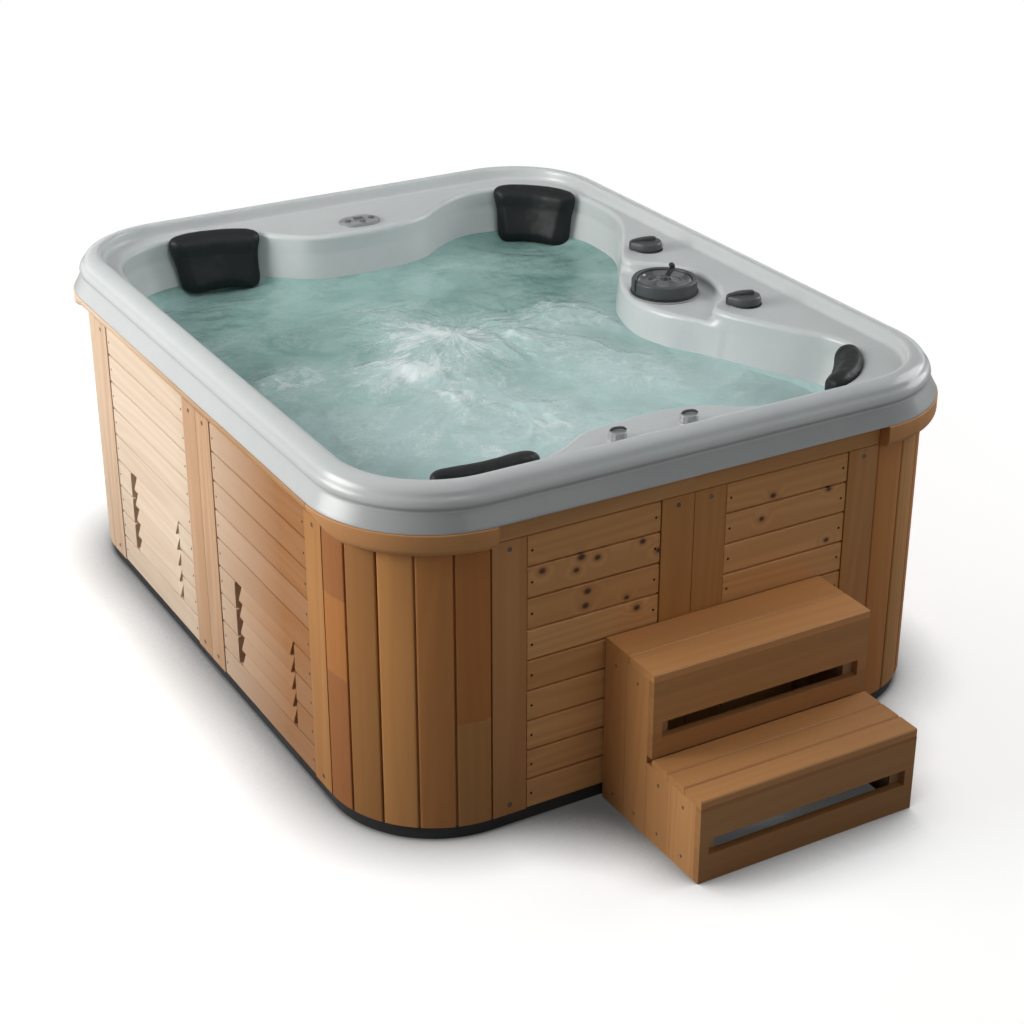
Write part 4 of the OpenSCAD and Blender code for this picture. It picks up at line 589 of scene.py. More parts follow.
def stave(name, turn_count, index, low_end, high_end, count=5):
    """Closed section carried up: face at the corner's radius, edges rounded by a quarter circle,
    and tongue at the back. The section is a list of (radius, angle) pairs."""
    slice_a = np.pi / 2 / count
    gap = 0.0025 / corner_r
    round_r, back, tongue_back, tongue_gap = 0.0028, 0.008, 0.019, 0.0006
    first, last = index * slice_a, (index + 1) * slice_a
    low, high = first + gap, last - gap
    bend = np.linspace(0, np.pi / 2, 5)
    radius = corner_r - np.array([back, *round_r * (1 - np.sin(bend)), *[0] * 10,
                                  *round_r * (1 - np.cos(bend)), back, back, tongue_back, tongue_back, back])
    angle = np.array([low, *low + round_r / corner_r * (1 - np.cos(bend)), *np.linspace(low, high, 12)[1:-1],
                      *high - round_r / corner_r * (1 - np.sin(bend)), high, last - tongue_gap,
                      last - tongue_gap, first + tongue_gap, first + tongue_gap])
    rows = []
    for z, shrink in ((low_end, 0.0006), (low_end + 0.0006, 0), (high_end - 0.0006, 0), (high_end, 0.0006)):
        rows.append(level(in_corner(turn_count, radius - shrink, angle), z))
    return skin(name, rows, ends=(True, True), sharp=35)


def stave_timber(name, lean, hue, knots):
    """The cladding's wood for one stave: grain upwards, its own share of pale and warm, and its own hue."""
    pale = tuple(np.array(oil_pale) * (1.05 - 0.15 * lean) * hue)
    warm = tuple(np.array(oil_warm) * (1.04 - 0.1 * lean) * hue)
    return timber(name, 2, pale, warm, oil_dark, (), ring=18.0 + 8 * lean, stray=knots,
                  tint=0.2 + 0.5 * lean, contrast=0.24)


# How warm each wood is, its hue, and how many knots it holds
stave_looks = [(0.35, (0.58, 0.40, 0.26), 0.20), (0.55, (0.64, 0.56, 0.38), 0.0),
               (0.25, (0.98, 0.88, 0.70), 0.0), (0.65, (0.96, 0.80, 0.58), 0.16),
               (0.75, (0.86, 0.84, 0.66), 0.10), (0.45, (0.78, 0.58, 0.34), 0.12)]
stave_woods = [stave_timber(f"stave_wood_{k}", lean, np.array(hue), knots)
               for k, (lean, hue, knots) in enumerate(stave_looks)]
# The far left corner's staves take a paler copy of the wood: painted light of the left lamp
far_lit_wood = timber("stave_wood_far", 2, (0.80, 0.61, 0.45), (0.66, 0.46, 0.30), painted_lit_dark, [(0, 0.0, 0.07)],
                  contrast=0.24)
stave_joints = {(2, 0): (0.385, 0.590), (2, 4): (0.314,)}
half_joint = 0.0003
for turn_count in range(4):
    for index in range(5):
        ends = [stave_low, *stave_joints.get((turn_count, index), ()), stave_high]
        for length in range(len(ends) - 1):
            board = stave(f"stave_{turn_count}_{index}_{length}", turn_count, index,
                          ends[length] + half_joint, ends[length + 1] - half_joint)
            if turn_count == 1:
                wood = far_lit_wood
            elif turn_count == 2:
                wood = stave_woods[(index, 5, index)[length]]
            else:
                wood = stave_woods[(index + 2 * turn_count + 3) % 6]
            settle(board, wood, "tub", "timber")
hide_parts("corner_staves")


# Fascia: a strip of thin wood bent round the top of each corner, and a straight edging on the side walls.
# It covers the staves' ends under the lip, and is glued and pinned.
def strip(name, path, out, low, grain):
    """Section carried along a path in plan: a quarter round below, an upright face proud of the wall, a
    small round on top just under the shell's lip, and a tongue that goes up inside the lip. low is its foot,
    and may change along the path."""
    back, proud, under_lip, tongue, high, big_r, small_r = 0.0004, 0.035, 0.8116, 0.012, 0.826, 0.02, 0.003
    big = [(proud - big_r + big_r * np.sin(c), low + big_r * (1 - np.cos(c)))
           for c in np.linspace(0, np.pi / 2, 9)]
    small = [(proud - small_r + small_r * np.cos(c), under_lip - small_r + small_r * np.sin(c))
             for c in np.linspace(0, np.pi / 2, 5)]
    section = [(back, low), *big, *small, (tongue, under_lip), (tongue, high), (back, high)]
    rows = np.array([level(path + d * out, z) for d, z in section]).transpose(1, 0, 2)
    piece = skin(name, rows, ends=(True, True), sharp=40)
    return settle(piece, grain, "tub", "timber")


# The bent strips are painted paler round the far left corner, and the edging paler towards the back: painted
# light of the left lamp and its fall-off
bent_wood = timber("bent_strip", 2, (0.84, 0.66, 0.50), (0.54, 0.255, 0.090), (0.40, 0.18, 0.060), (),
                   ring=8.0, contrast=0.2, drift=((1, -0.35, 0), -1.1, -0.55, 0.9))
edging_wood = timber("edging_strip", 1, (0.86, 0.68, 0.52), (0.46, 0.24, 0.10), (0.38, 0.20, 0.08),
                     [(0, 0, 0.9)], ring=14.0, drift=((0, -1, 0), -0.6, 0.4, 0.85))
strip_low, edging_low = 0.756, 0.786
for turn_count in range(4):
    a = np.linspace(0, np.pi / 2, 48)
    line = in_corner(turn_count, np.full(48, corner_r), a)
    centre = in_corner(turn_count, np.zeros(1), np.zeros(1))
    to_side = a if turn_count % 2 == 0 else np.pi / 2 - a
    eased_up = np.clip(1 - to_side / 0.42, 0, 1)
    foot = strip_low + (edging_low - strip_low) * eased_up**2 * (3 - 2 * eased_up)
    strip(f"bent_fascia_{turn_count}", line, (line - centre) / corner_r, foot, bent_wood)
for side in (-1, 1):
    y = side * np.linspace(-0.738, 0.738, 3)
    line = np.stack([np.full(3, side * half_x), y], axis=1)
    strip(f"edging_{'left' if side < 0 else 'right'}", line, np.array([[side, 0.0]] * 3),
                        edging_low, edging_wood)
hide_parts("fascia")


# Fixings: zinc countersunk screws with a cross recess, their zinc painted a dark brown that stands in for the
# shade in the countersinks, and small dark nails with flat heads.
# Both sit just under the face of the wood.
# The screws' dark brown is a painted shade of their countersinks over the zinc
zinc = moulded("zinc_screw", (0.20, 0.175, 0.14), (0.10, 0.085, 0.065), 0.45, 900, 0.0002, metal=0.6)
dress("panel_screws step_screws", zinc)
nail = moulded("dark_nail", (0.055, 0.032, 0.018), (0.030, 0.018, 0.010), 0.85, 900, 0.0002, shine=0.15)
dress("board_nails", nail)


# Head pillows: self-skinned foam, soft and black, moulded to the seat's back.
# Pins behind each one snap into the shell just under the deck.
pillow_w = 0.306
pillow_h = 0.170
pillow_t = 0.066
pillow_mid = deck_z - pillow_h / 2 + 0.013
basin_3 = through(basin_marks, 3)
basin_3_at = run_length(basin_3)


def wall_place(along, height):
    """Plan point and outward normal on the basin's wall, at a distance along its outline and a height."""
    edge = spaced(basin_3, along)
    at = np.mod(along, basin_3_at[-1])
    normals = np.vstack([outward(basin_3), outward(basin_3)[:1]])
    normal = unit(np.stack([np.interp(at, basin_3_at, normals[:, k]) for k in (0, 1)], axis=-1))
    share = np.interp(-height, -basin_rows[:4, 1], basin_rows[:4, 0])
    return edge + (footwell(unit(edge - foot_middle)) - edge) * share[..., None], normal


def pillow(name, mark):
    """Crowned closed cushion on the wall. For a direction a round its face and a share r of the way out,
    across = r c(a) w/2 and up = r s(a) h/2, with c and s on a squared circle, |c|^n + |s|^n = 1. Its depth
    from the wall is t (1 - up/10) times the table's share at r, less a shallow hollow for the head."""
    a = np.linspace(0, 2 * np.pi, 112, endpoint=False)
    c, s = np.cos(a), np.sin(a)
    square = 9
    to_square = (np.abs(c) ** square + np.abs(s) ** square) ** (-1 / square) * (1 - 0.03 * np.cos(2 * a) ** 2)
    c, s = c * to_square, s * to_square
    rings = [(0.25, 0.0), (0.6, 0.0), (0.86, 0.012), (0.945, 0.06), (0.975, 0.14), (0.99, 0.24),
             (0.995, 0.34), (0.99, 0.45), (0.978, 0.56), (0.955, 0.665), (0.915, 0.765), (0.85, 0.85),
             (0.75, 0.915), (0.6, 0.96), (0.42, 0.985), (0.2, 0.998)]
    rows = []
    for r, deep in rings:
        across, up = r * c, r * s
        along = basin_3_at[mark] + across * pillow_w / 2 * (1 + 0.14 * (up - 1) / 2)
        z = pillow_mid + up * pillow_h / 2 + 0.008 * (1 - across**2) * np.maximum(0, s)
        dished = 1 - 0.10 * deep * np.exp(-(across / 0.6) ** 2) * np.exp(-((up - 0.1) / 0.5) ** 2)
        depth = 0.0008 + deep * pillow_t * (1 - 0.1 * up) * dished
        plan, n = wall_place(along, z)
        rows.append(np.column_stack([plan - n * depth[:, None], z]))
    return skin(name, rows, ends=(True, True))


def puff(piece, cell, cap, last=20):
    """Foam under its skin: a copy of even cells swells under pressure for some frames, no point goes further
    than cap, and one subdivision follows."""
    scene = bpy.context.scene
    bpy.context.view_layer.objects.active = piece
    piece.select_set(True)
    fine = piece.modifiers.new("even", "REMESH")
    fine.mode = "VOXEL"
    fine.voxel_size = cell
    bpy.ops.object.modifier_apply(modifier=fine.name)
    start = np.zeros(len(piece.data.vertices) * 3)
    piece.data.vertices.foreach_get("co", start)
    swell = piece.modifiers.new("swell", "CLOTH")
    swell.settings.use_pressure = True
    swell.settings.uniform_pressure_force = 4
    swell.settings.effector_weights.gravity = 0
    swell.settings.quality = 5
    swell.point_cache.frame_start = 1
    swell.point_cache.frame_end = last
    for f in range(1, last + 1):
        scene.frame_set(f)
    shown = piece.evaluated_get(bpy.context.evaluated_depsgraph_get()).to_mesh()
    end = np.zeros(len(shown.vertices) * 3)
    shown.vertices.foreach_get("co", end)
    piece.evaluated_get(bpy.context.evaluated_depsgraph_get()).to_mesh_clear()
    piece.modifiers.remove(swell)
    move = (end - start).reshape(-1, 3)
    far = np.linalg.norm(move, axis=1, keepdims=True)
    move *= np.minimum(1, cap / np.maximum(far, 1e-9))
    piece.data.vertices.foreach_set("co", (start.reshape(-1, 3) + move).ravel())
    piece.data.polygons.foreach_set("use_smooth", np.ones(len(piece.data.polygons), bool))
    smoother = piece.modifiers.new("rounded", "SUBSURF")
    smoother.levels = smoother.render_levels = 1
    bpy.ops.object.modifier_apply(modifier=smoother.name)
    piece.select_set(False)
    scene.frame_set(1)


pillow_skin = moulded("foam_skin", (0.0062, 0.0092, 0.0100), (0.0038, 0.0056, 0.0062), 0.52, 620, 0.0005,
                      shine=0.32)
pillow_marks = {"back_left": 18, "back_right": 50, "front_right": 94, "front_left": 125}
for place_name, mark in pillow_marks.items():
    cushion = pillow(f"head_{place_name}", mark)
    puff(cushion, 0.005, 0.003)
    settle(cushion, pillow_skin, "tub", "pillow_skin", f"pillow_{place_name}")


# Filter: a screw-down collar of grey plastic on the bay's shelf, with a black gasket under it.
# A lid with a glossy dished top and a bent lever twists in the collar, and the cartridge hangs below it.
filter_at = np.array([0.538, -0.078])
collar_top = shelf_z + 0.044


def lathe(name, profile, at, count=96, ends=(False, False), loop=False, sharp=38):
    """Turned piece: each (r, z) of the profile goes round the upright axis through at,
    x = r cos a, y = r sin a."""
    a = np.linspace(0, 2 * np.pi, count, endpoint=False)
    profile = np.asarray(profile, float)
    x = at[0] + profile[:, :1] * np.cos(a)
    y = at[1] + profile[:, :1] * np.sin(a)
    z = np.broadcast_to(profile[:, 1:], x.shape)
    return skin(name, np.stack([x, y, z], axis=-1), ends=ends, loop=loop, sharp=sharp)


def turned(name, profile, at, material, body, slot, *nodes, **form):
    """Turned piece with its finish and its body."""
    return settle(lathe(name, profile, at, **form), material, body, slot, *nodes)


def bend(x0, z0, r, start, stop, steps=6):
    """Arc of a profile about (x0, z0), from one angle in degrees to another."""
    a = np.radians(np.linspace(start, stop, steps))
    return list(zip(x0 + r * np.cos(a), z0 + r * np.sin(a)))


grey_abs = moulded("grey_abs", (0.066, 0.074, 0.077), (0.050, 0.057, 0.060), 0.42, 500, 0.0003)
pale_abs = moulded("pale_abs", (0.36, 0.375, 0.38), (0.28, 0.295, 0.30), 0.32, 500, 0.0002, coat=0.2)
gasket = moulded("gasket_rubber", (0.012, 0.012, 0.013), (0.007, 0.007, 0.008), 0.6, 500, 0.0003)
flange_profile = [(0.06, shelf_z + 0.0002), (0.0955, shelf_z + 0.0002),
                  *bend(0.0955, shelf_z + 0.0022, 0.002, -80, 90), (0.06, shelf_z + 0.0042)]
turned("filter_flange", flange_profile, filter_at, pale_abs, "tub", "grey_plastic", loop=True)
seal_profile = [(0.070, shelf_z + 0.0042), (0.0905, shelf_z + 0.0042),
                *bend(0.0905, shelf_z + 0.0072, 0.003, -80, 80), (0.0905, shelf_z + 0.0102),
                (0.070, shelf_z + 0.0102)]
turned("filter_gasket", seal_profile, filter_at, gasket, "tub", "grey_plastic", loop=True)
collar_profile = [(0.0765, shelf_z + 0.0102), (0.0895, shelf_z + 0.0102), (0.0900, shelf_z + 0.012),
                  (0.0893, shelf_z + 0.030), *bend(0.0848, collar_top - 0.0045, 0.0045, 0, 90),
                  (0.0815, collar_top), *bend(0.0795, collar_top - 0.003, 0.003, 90, 180)]
turned("filter_collar_ring", collar_profile, filter_at, grey_abs, "tub", "grey_plastic", "filter_collar",
       loop=True)
tab_turn = math.radians(168)
tab_a = np.linspace(tab_turn - 0.13, tab_turn + 0.13, 9)
tab_section = [(0.0888, shelf_z + 0.013), (0.0935, shelf_z + 0.014), (0.0938, collar_top - 0.001),
               (0.0925, collar_top + 0.006), (0.0885, collar_top + 0.0065), (0.0872, collar_top + 0.001),
               (0.0868, collar_top - 0.006)]
tab_rows = [[(filter_at[0] + r * math.cos(a), filter_at[1] + r * math.sin(a), z) for r, z in tab_section]
            for a in tab_a]
settle(skin("filter_tab", tab_rows, ends=(True, True), sharp=40, turned=True), grey_abs, "tub",
       "grey_plastic")

lid_z = shelf_z + 0.020
glass_cap = moulded("glossy_lid", (0.10, 0.11, 0.112), (0.055, 0.060, 0.062), 0.07, 300, 0.0001, coat=1.0)
lid_top = lid_z + 0.012
lid_profile = [(0.0125, lid_z), (0.0735, lid_z), *bend(0.0730, lid_z + 0.0015, 0.0015, -60, 0, 3),
               (0.0748, lid_top + 0.004), *bend(0.0730, lid_top + 0.0045, 0.0018, 0, 120, 5),
               (0.0690, lid_top + 0.0042), (0.0640, lid_top - 0.0010), (0.0560, lid_top - 0.0028),
               (0.0430, lid_top - 0.0018), (0.0320, lid_top + 0.0012), (0.0240, lid_top + 0.0050),
               (0.0215, lid_top + 0.0066), *bend(0.0180, lid_top + 0.0040, 0.004, 60, 110, 4),
               (0.0125, lid_top + 0.0079)]
turned("filter_lid_dish", lid_profile, filter_at, glass_cap, "filter_lid", "light_grey_plastic",
       "filter_lid", loop=True)


def swept(name, path, radii, count=16, flat=(1.0, 1.0), ends=(True, True)):
    """Tube round a smooth path: ring i lies across the path's tangent at radius radii[i], squeezed by flat,
    with each ring's axes carried on from the last with least turn."""
    path = np.asarray(path, float)
    tangent = unit(np.gradient(path, axis=0))
    side = np.cross(tangent[0], [0.13, 0.31, 1.0])
    a = np.linspace(0, 2 * np.pi, count, endpoint=False)
    rows = []
    for p, t, r in zip(path, tangent, radii):
        side = unit(side - t * (side @ t))
        other = np.cross(t, side)
        rows.append(p + r * (flat[0] * np.cos(a)[:, None] * side + flat[1] * np.sin(a)[:, None] * other))
    return skin(name, rows, ends=ends)


def open_curve(marks, steps):
    """Smooth open curve through marks, by the same cubic, with one more mark in line past each end."""
    marks = np.asarray(marks, float)
    padded = np.vstack([2 * marks[0] - marks[1], marks, 2 * marks[-1] - marks[-2]])
    return np.vstack([cubic(padded[:-3], padded[1:-2], padded[2:-1], padded[3:], steps), marks[-1:]])


lever_turn = math.radians(25)
lever_marks = np.array([[0.006, 0, 0.004], [0.014, 0, 0.013], [0.022, 0, 0.019], [0.031, 0, 0.023],
                        [0.038, 0, 0.028], [0.0395, 0, 0.033], [0.035, 0, 0.0375], [0.028, 0, 0.0385]])
lever_line = open_curve(lever_marks, 6)
lever_line = level(lever_line[:, :1] * [math.cos(lever_turn), math.sin(lever_turn)], lever_line[:, 2])
lever_r = np.interp(np.linspace(0, 1, len(lever_line)), [0, 0.1, 0.5, 0.85, 0.97, 1],
                    [0.0078, 0.0072, 0.0064, 0.0070, 0.0070, 0.004])
settle(swept("filter_lever", lever_line + [*filter_at, lid_top], lever_r), gasket, "filter_lid",
       "light_grey_plastic")
boss_profile = [(0.0122, lid_z + 0.002), (0.0122, lid_top + 0.012),
                *bend(0.0088, lid_top + 0.0125, 0.0034, 0, 90, 5), (0.003, lid_top + 0.0159)]
turned("filter_boss", boss_profile, filter_at, grey_abs, "filter_lid", "light_grey_plastic", count=48,
       ends=(True, True))
dress("filter_canister", grey_abs)
paper = moulded("pleated_paper", (0.78, 0.78, 0.73), (0.66, 0.66, 0.62), 0.8, 500, 0.0006,
                stretch=(1, 1, 0.2))
dress("filter_cartridge", paper)


# Diverter knobs: drop-shaped caps of grey plastic with a raised grip that ends in a rounded nose.
# Each sits on the spindle of its valve under the deck, with a pale washer below it.
knob_gap = 0.0023


def drop(r, nose, t):
    """Drop-shaped outline: a circle of radius r, drawn out to nose on its -X side:
    x = r cos t (1 - k) - nose k, y = r sin t (1 - k/4), with k a narrow bell round t = 180 degrees."""
    pull = np.exp(-((np.mod(t, 2 * np.pi) - np.pi) / 0.42) ** 2)
    return np.stack([r * np.cos(t) * (1 - pull) - pull * nose, r * np.sin(t) * (1 - 0.25 * pull)], axis=1)


def knob(name, at, turn, body):
    """Cap in rows up its side, with a rounded shoulder, and a grip: a box section that rises and narrows
    along X."""
    t = np.linspace(0, 2 * np.pi, 96, endpoint=False)
    base = deck_z + knob_gap
    rows = []
    for size, z in [(0.5, 0.0), (0.985, 0.0), (1.0, 0.001), (1.0, 0.010), (0.985, 0.017), (0.955, 0.0205),
                    (0.915, 0.0225), (0.86, 0.0236), (0.6, 0.0242), (0.2, 0.0244)]:
        plan = drop(0.040, 0.0545, t) * size
        rows.append(level(plan, base + z))
    grip = []
    for x, width, foot, high in [(-0.0545, 0.0035, 0.004, 0.018), (-0.053, 0.0055, 0.004, 0.0235),
                                 (-0.046, 0.0072, 0.008, 0.0275), (-0.030, 0.0080, 0.016, 0.0310),
                                 (-0.010, 0.0080, 0.018, 0.0335), (0.006, 0.0078, 0.018, 0.0345),
                                 (0.016, 0.0066, 0.020, 0.0345), (0.021, 0.0040, 0.022, 0.0330)]:
        edge = 0.0025
        ring = [(-width, foot), (-width, high - edge), (-width + 0.3 * edge, high - 0.3 * edge),
                (-width + edge, high), (width - edge, high), (width - 0.3 * edge, high - 0.3 * edge),
                (width, high - edge), (width, foot)]
        grip.append([(x, y, base + z) for y, z in ring])
    a = math.radians(turn)
    spin = np.array([[math.cos(a), math.sin(a), 0], [-math.sin(a), math.cos(a), 0], [0, 0, 1]])
    cap = skin(f"{name}_cap", np.array(rows) @ spin + [*at, 0], ends=(True, True), sharp=50)
    settle(cap, grey_abs, body, "grey_plastic", body)
    bar = skin(f"{name}_grip", np.array(grip) @ spin + [*at, 0], ends=(True, True), sharp=45, turned=True)
    settle(bar, grip_abs, body, "grey_plastic")
    washer = [(0.02, deck_z + 0.0002), (0.0425, deck_z + 0.0002), (0.0430, deck_z + 0.001),
              (0.0424, deck_z + 0.002), (0.02, deck_z + 0.002)]
    turned(f"{name}_washer", washer, at, pale_abs, "tub", "grey_plastic", loop=True)
    tip = np.array([[math.cos(a + 0.5), math.sin(a + 0.5)]]) * np.array([[0.047], [0.062]]) + at
    pointer_line = level(np.linspace(tip[0], tip[1], 8), deck_z + 0.0006)
    pointer_r = [0.001, 0.0034, 0.0038, 0.0036, 0.003, 0.0024, 0.0016, 0.0008]
    pointer = swept(f"{name}_pointer", pointer_line, pointer_r, flat=(1.0, 0.35))
    settle(pointer, pale_abs, "tub", "grey_plastic")


grip_abs = moulded("grip_abs", (0.034, 0.039, 0.041), (0.025, 0.029, 0.031), 0.36, 500, 0.0003)
knob_rear = np.array([0.642, 0.165])
knob_front = np.array([0.625, -0.335])
knob("diverter_rear", knob_rear, -20, "diverter_knob_rear")
knob("diverter_front", knob_front, -20, "diverter_knob_front")
dress("diverter_valves", grey_abs)


# Air controls: two small fluted caps of pale plastic on the front ledge, on a round washer.
# Each turns a needle valve that lets air into the jets.
def fluted(name, at, body):
    """Cap whose radius up its side is r (1 - 0.07 (1 - |sin 6a|^0.6)), with a plain top and a fin on it."""
    a = np.linspace(0, 2 * np.pi, 144, endpoint=False)
    base = deck_z + knob_gap
    rows = []
    for r, z, flute in [(0.010, 0.0, 0), (0.0222, 0.0, 0), (0.0228, 0.0008, 0), (0.0228, 0.003, 0),
                        (0.0225, 0.0045, 1), (0.0218, 0.015, 1), (0.0212, 0.0172, 0.5), (0.0200, 0.0190, 0),
                        (0.0180, 0.0199, 0), (0.0150, 0.0193, 0), (0.0120, 0.0190, 0), (0.003, 0.0190, 0)]:
        wave = r * (1 - 0.07 * flute * (1 - np.abs(np.sin(6 * a)) ** 0.6))
        rows.append(level(at + wave[:, None] * np.stack([np.cos(a), np.sin(a)], axis=1), base + z))
    cap = skin(name, rows, ends=(True, True), sharp=50)
    settle(cap, pale_abs, body, "light_grey_plastic", body)
    fin_line = np.array([[-0.017, 0, 0.017], [-0.012, 0, 0.0235], [0.0, 0, 0.0265], [0.012, 0, 0.0265],
                         [0.020, 0, 0.0225]])
    fin_line = open_curve(fin_line, 5) @ np.array([[0.87, -0.5, 0], [0.5, 0.87, 0], [0, 0, 1]]) + [*at, base]
    fin_r = np.interp(np.linspace(0, 1, len(fin_line)), [0, 0.15, 0.8, 1], [0.004, 0.0056, 0.0052, 0.0028])
    settle(swept(f"{name}_fin", fin_line, fin_r, flat=(1.0, 0.62)), grey_abs, body, "light_grey_plastic")


air_left = np.array([-0.143, -0.908])
air_right = np.array([0.053, -0.908])
fluted("air_cap_left", air_left, "air_knob_left")
fluted("air_cap_right", air_right, "air_knob_right")


# Top-side control: an oval bezel of grey plastic on the back console, with a raised display and buttons.
# It drops into a hole in the deck and clips from below.
bezel = moulded("bezel_abs", (0.33, 0.345, 0.35), (0.27, 0.285, 0.29), 0.35, 500, 0.0002, coat=0.3)
dress("control_panel", bezel)
rubber = moulded("button_rubber", (0.16, 0.17, 0.175), (0.12, 0.13, 0.135), 0.5, 600, 0.0002)
dress("control_button_1 control_button_2 control_button_3", rubber)
window = moulded("display_window", (0.010, 0.014, 0.016), (0.006, 0.008, 0.010), 0.06, 200, 0.00005, coat=1.0)
pane_sizes = [(0.0150, 0.0100, 0.0098), (0.0150, 0.0100, 0.0103), (0.0145, 0.0095, 0.0106)]
pane_rows = np.array([[(x, y, deck_z + z) for x, y in ((-a, -b), (a, -b), (a, b), (-a, b))]
                      for a, b, z in pane_sizes]) + [0.035, 0.801, 0]
pane = skin("display_pane", pane_rows, ends=(True, True), smooth=False)
settle(pane, window, "tub", "grey_plastic")


# Jets, suction covers and light: stainless faces over plastic bodies, all under the water.
# They screw into the basin's wall from inside.
steel = moulded("jet_steel", (0.60, 0.61, 0.62), (0.45, 0.46, 0.47), 0.25, 700, 0.0001, metal=1.0)
dress("jet_faces underwater_light", steel)
dress("jet_nozzle_1 jet_nozzle_2 jet_nozzle_3 jet_nozzle_4", grip_abs)


# Step: a two-rise box of the same softwood, stained darker, that stands free against the cabinet.
# Upright boards make its sides, two and three boards its treads, and each riser has a long hand slot.
stain_pale = (0.74, 0.365, 0.135)
stain_warm = (0.62, 0.290, 0.100)
stain_dark = (0.36, 0.150, 0.046)
# The risers face the front and take the treads' stain at about 0.7 of its brightness: a painted shade
riser_shaded_pale = (0.54, 0.265, 0.095)
riser_shaded_warm = (0.43, 0.200, 0.068)
for part, along, pale, warm, cells in (
        ("tread", 0, stain_pale, stain_warm, [(1, -1.0203, 0.1017), (2, 0.0, 0.22)]),
        ("riser", 0, riser_shaded_pale, riser_shaded_warm, [(2, 0.0, 0.095), (1, 0.0, 0.2)]),
        ("side", 2, stain_pale, stain_warm, [(1, -1.0203, 0.0925), (0, 0.0, 0.3)])):
    stained = timber(f"{part}_stained", along, pale, warm, stain_dark, cells, ring=22.0, rough=0.42,
                     contrast=0.22)
    dress(f"step_{part}s", stained)
dress("step_posts", timber("post_plain", 2, sawn_warm, sawn_dark, sawn_dark, [(1, 0.0, 0.1), (0, 0.0, 0.3)]))


# Water: filled to a hand's breadth under the deck, and driven up in mounds by the jets.
# It is a closed skin of its own, cut off level below, because nothing under the foam can be seen.
water_z = 0.750
rng = np.random.default_rng(11)


def lattice(size):
    """Table of random numbers on a square grid that wraps."""
    return rng.random((size, size))


def billow(x, y, pitch, table):
    """Value noise: table's numbers at pitch, joined by s(t) = t^2 (3 - 2t) both ways."""
    u, v = x / pitch, y / pitch
    i, j = np.floor(u).astype(int), np.floor(v).astype(int)
    s, t = u - i, v - j
    s, t = s * s * (3 - 2 * s), t * t * (3 - 2 * t)
    n = len(table)
    a, b = table[i % n, j % n], table[(i + 1) % n, j % n]
    c, d = table[i % n, (j + 1) % n], table[(i + 1) % n, (j + 1) % n]
    return a + (b - a) * s + (c - a) * t + (a - b - c + d) * s * t


# The mounds that the jets drive up: x, y, width, height and how white each is
mounds = np.array([
    [-0.06, 0.04, 0.20, 0.026, 1.0], [-0.24, -0.06, 0.17, 0.014, 0.95], [0.12, -0.06, 0.16, 0.014, 0.85],
    [0.30, 0.07, 0.13, 0.012, 0.80], [-0.20, -0.30, 0.17, 0.008, 0.75], [0.24, -0.34, 0.15, 0.009, 0.62],
    [-0.10, -0.50, 0.19, 0.006, 0.66], [-0.44, -0.36, 0.17, 0.006, 0.55], [-0.52, 0.02, 0.13, 0.008, 0.62],
    [-0.10, 0.30, 0.14, 0.008, 0.42]])
trough = np.array([[-0.58, 0.86], [-0.40, 0.90], [0.58, 0.76], [0.64, -0.72]])


def surface(plan):
    """Height of the water over its level, and its foam: mounds exp(-(d/size)^2) with ridged noise on them,
    and a smaller chop all over."""
    x, y = plan[..., 0], plan[..., 1]
    twist = billow(x, y, 0.16, tables[0]) - 0.5
    wx, wy = x + 0.11 * twist, y + 0.11 * (billow(x + 3, y, 0.17, tables[1]) - 0.5)
    mound = np.zeros_like(x)
    boil = np.zeros_like(x)
    for cx, cy, size, high, white in mounds:
        bell = np.exp(-(((wx - cx) / size) ** 2 + ((wy - cy) / size) ** 2))
        mound += high * bell
        boil = np.maximum(boil, white * bell)
    chop = np.zeros_like(x)
    ridge = np.zeros_like(x)
    for k, pitch in enumerate((0.16, 0.085, 0.045, 0.024, 0.013)):
        layer = billow(wx + 7 * k, wy, pitch, tables[k + 2]) * 2 - 1
        chop += layer * pitch * 0.034
        ridge += (1 - np.abs(layer)) ** 2 * pitch * 0.085
    low = sum(np.exp(-((x - tx) ** 2 + (y - ty) ** 2) / 0.19**2) for tx, ty in trough)
    height = mound + chop * (0.7 + 0.6 * boil) + ridge * (0.15 + boil)
    height -= 0.006 + 0.026 * np.minimum(low, 1.2)
    curl = billow(wx * 1.3, wy * 1.3, 0.05, tables[7]) * 0.5 + billow(wx, wy, 0.021, tables[8]) * 0.5
    foam = np.clip(boil * 0.95 + (ridge - 0.011) * 14 * boil + (curl - 0.5) * 0.5 * boil, 0, 1)
    return height, foam


tables = [lattice(64) for _ in range(9)]
water_line = basin_row(0.0225, water_z, 1)[:, :2]
water_line = evenly(water_line, 720)
water_line = water_line + 0.003 * outward(eased(water_line, 2))
shares = np.concatenate([[0.0], np.linspace(0.004, 0.985, 118)])
plan = water_line[None] + (foot_middle - water_line)[None] * shares[:, None, None]
height, foam = surface(plan)
fade = np.clip(shares / 0.05, 0.35, 1)[:, None]
top = np.concatenate([plan, (water_z + height * fade)[..., None]], axis=-1)
skirt = np.stack([level(water_line, water_z - 0.045),
                  level(water_line + (foot_middle - water_line) * 0.9, water_z - 0.045)])
water = skin("churning_water", np.concatenate([skirt[::-1], top]), ends=(True, True))
level_foam = np.concatenate([np.zeros((2, foam.shape[1])), foam]).ravel()
foam_layer = water.data.attributes.new("foam", "FLOAT", "POINT")
foam_layer.data.foreach_set("value", np.concatenate([level_foam, [0, foam[-1].mean()]]).astype(np.float32))

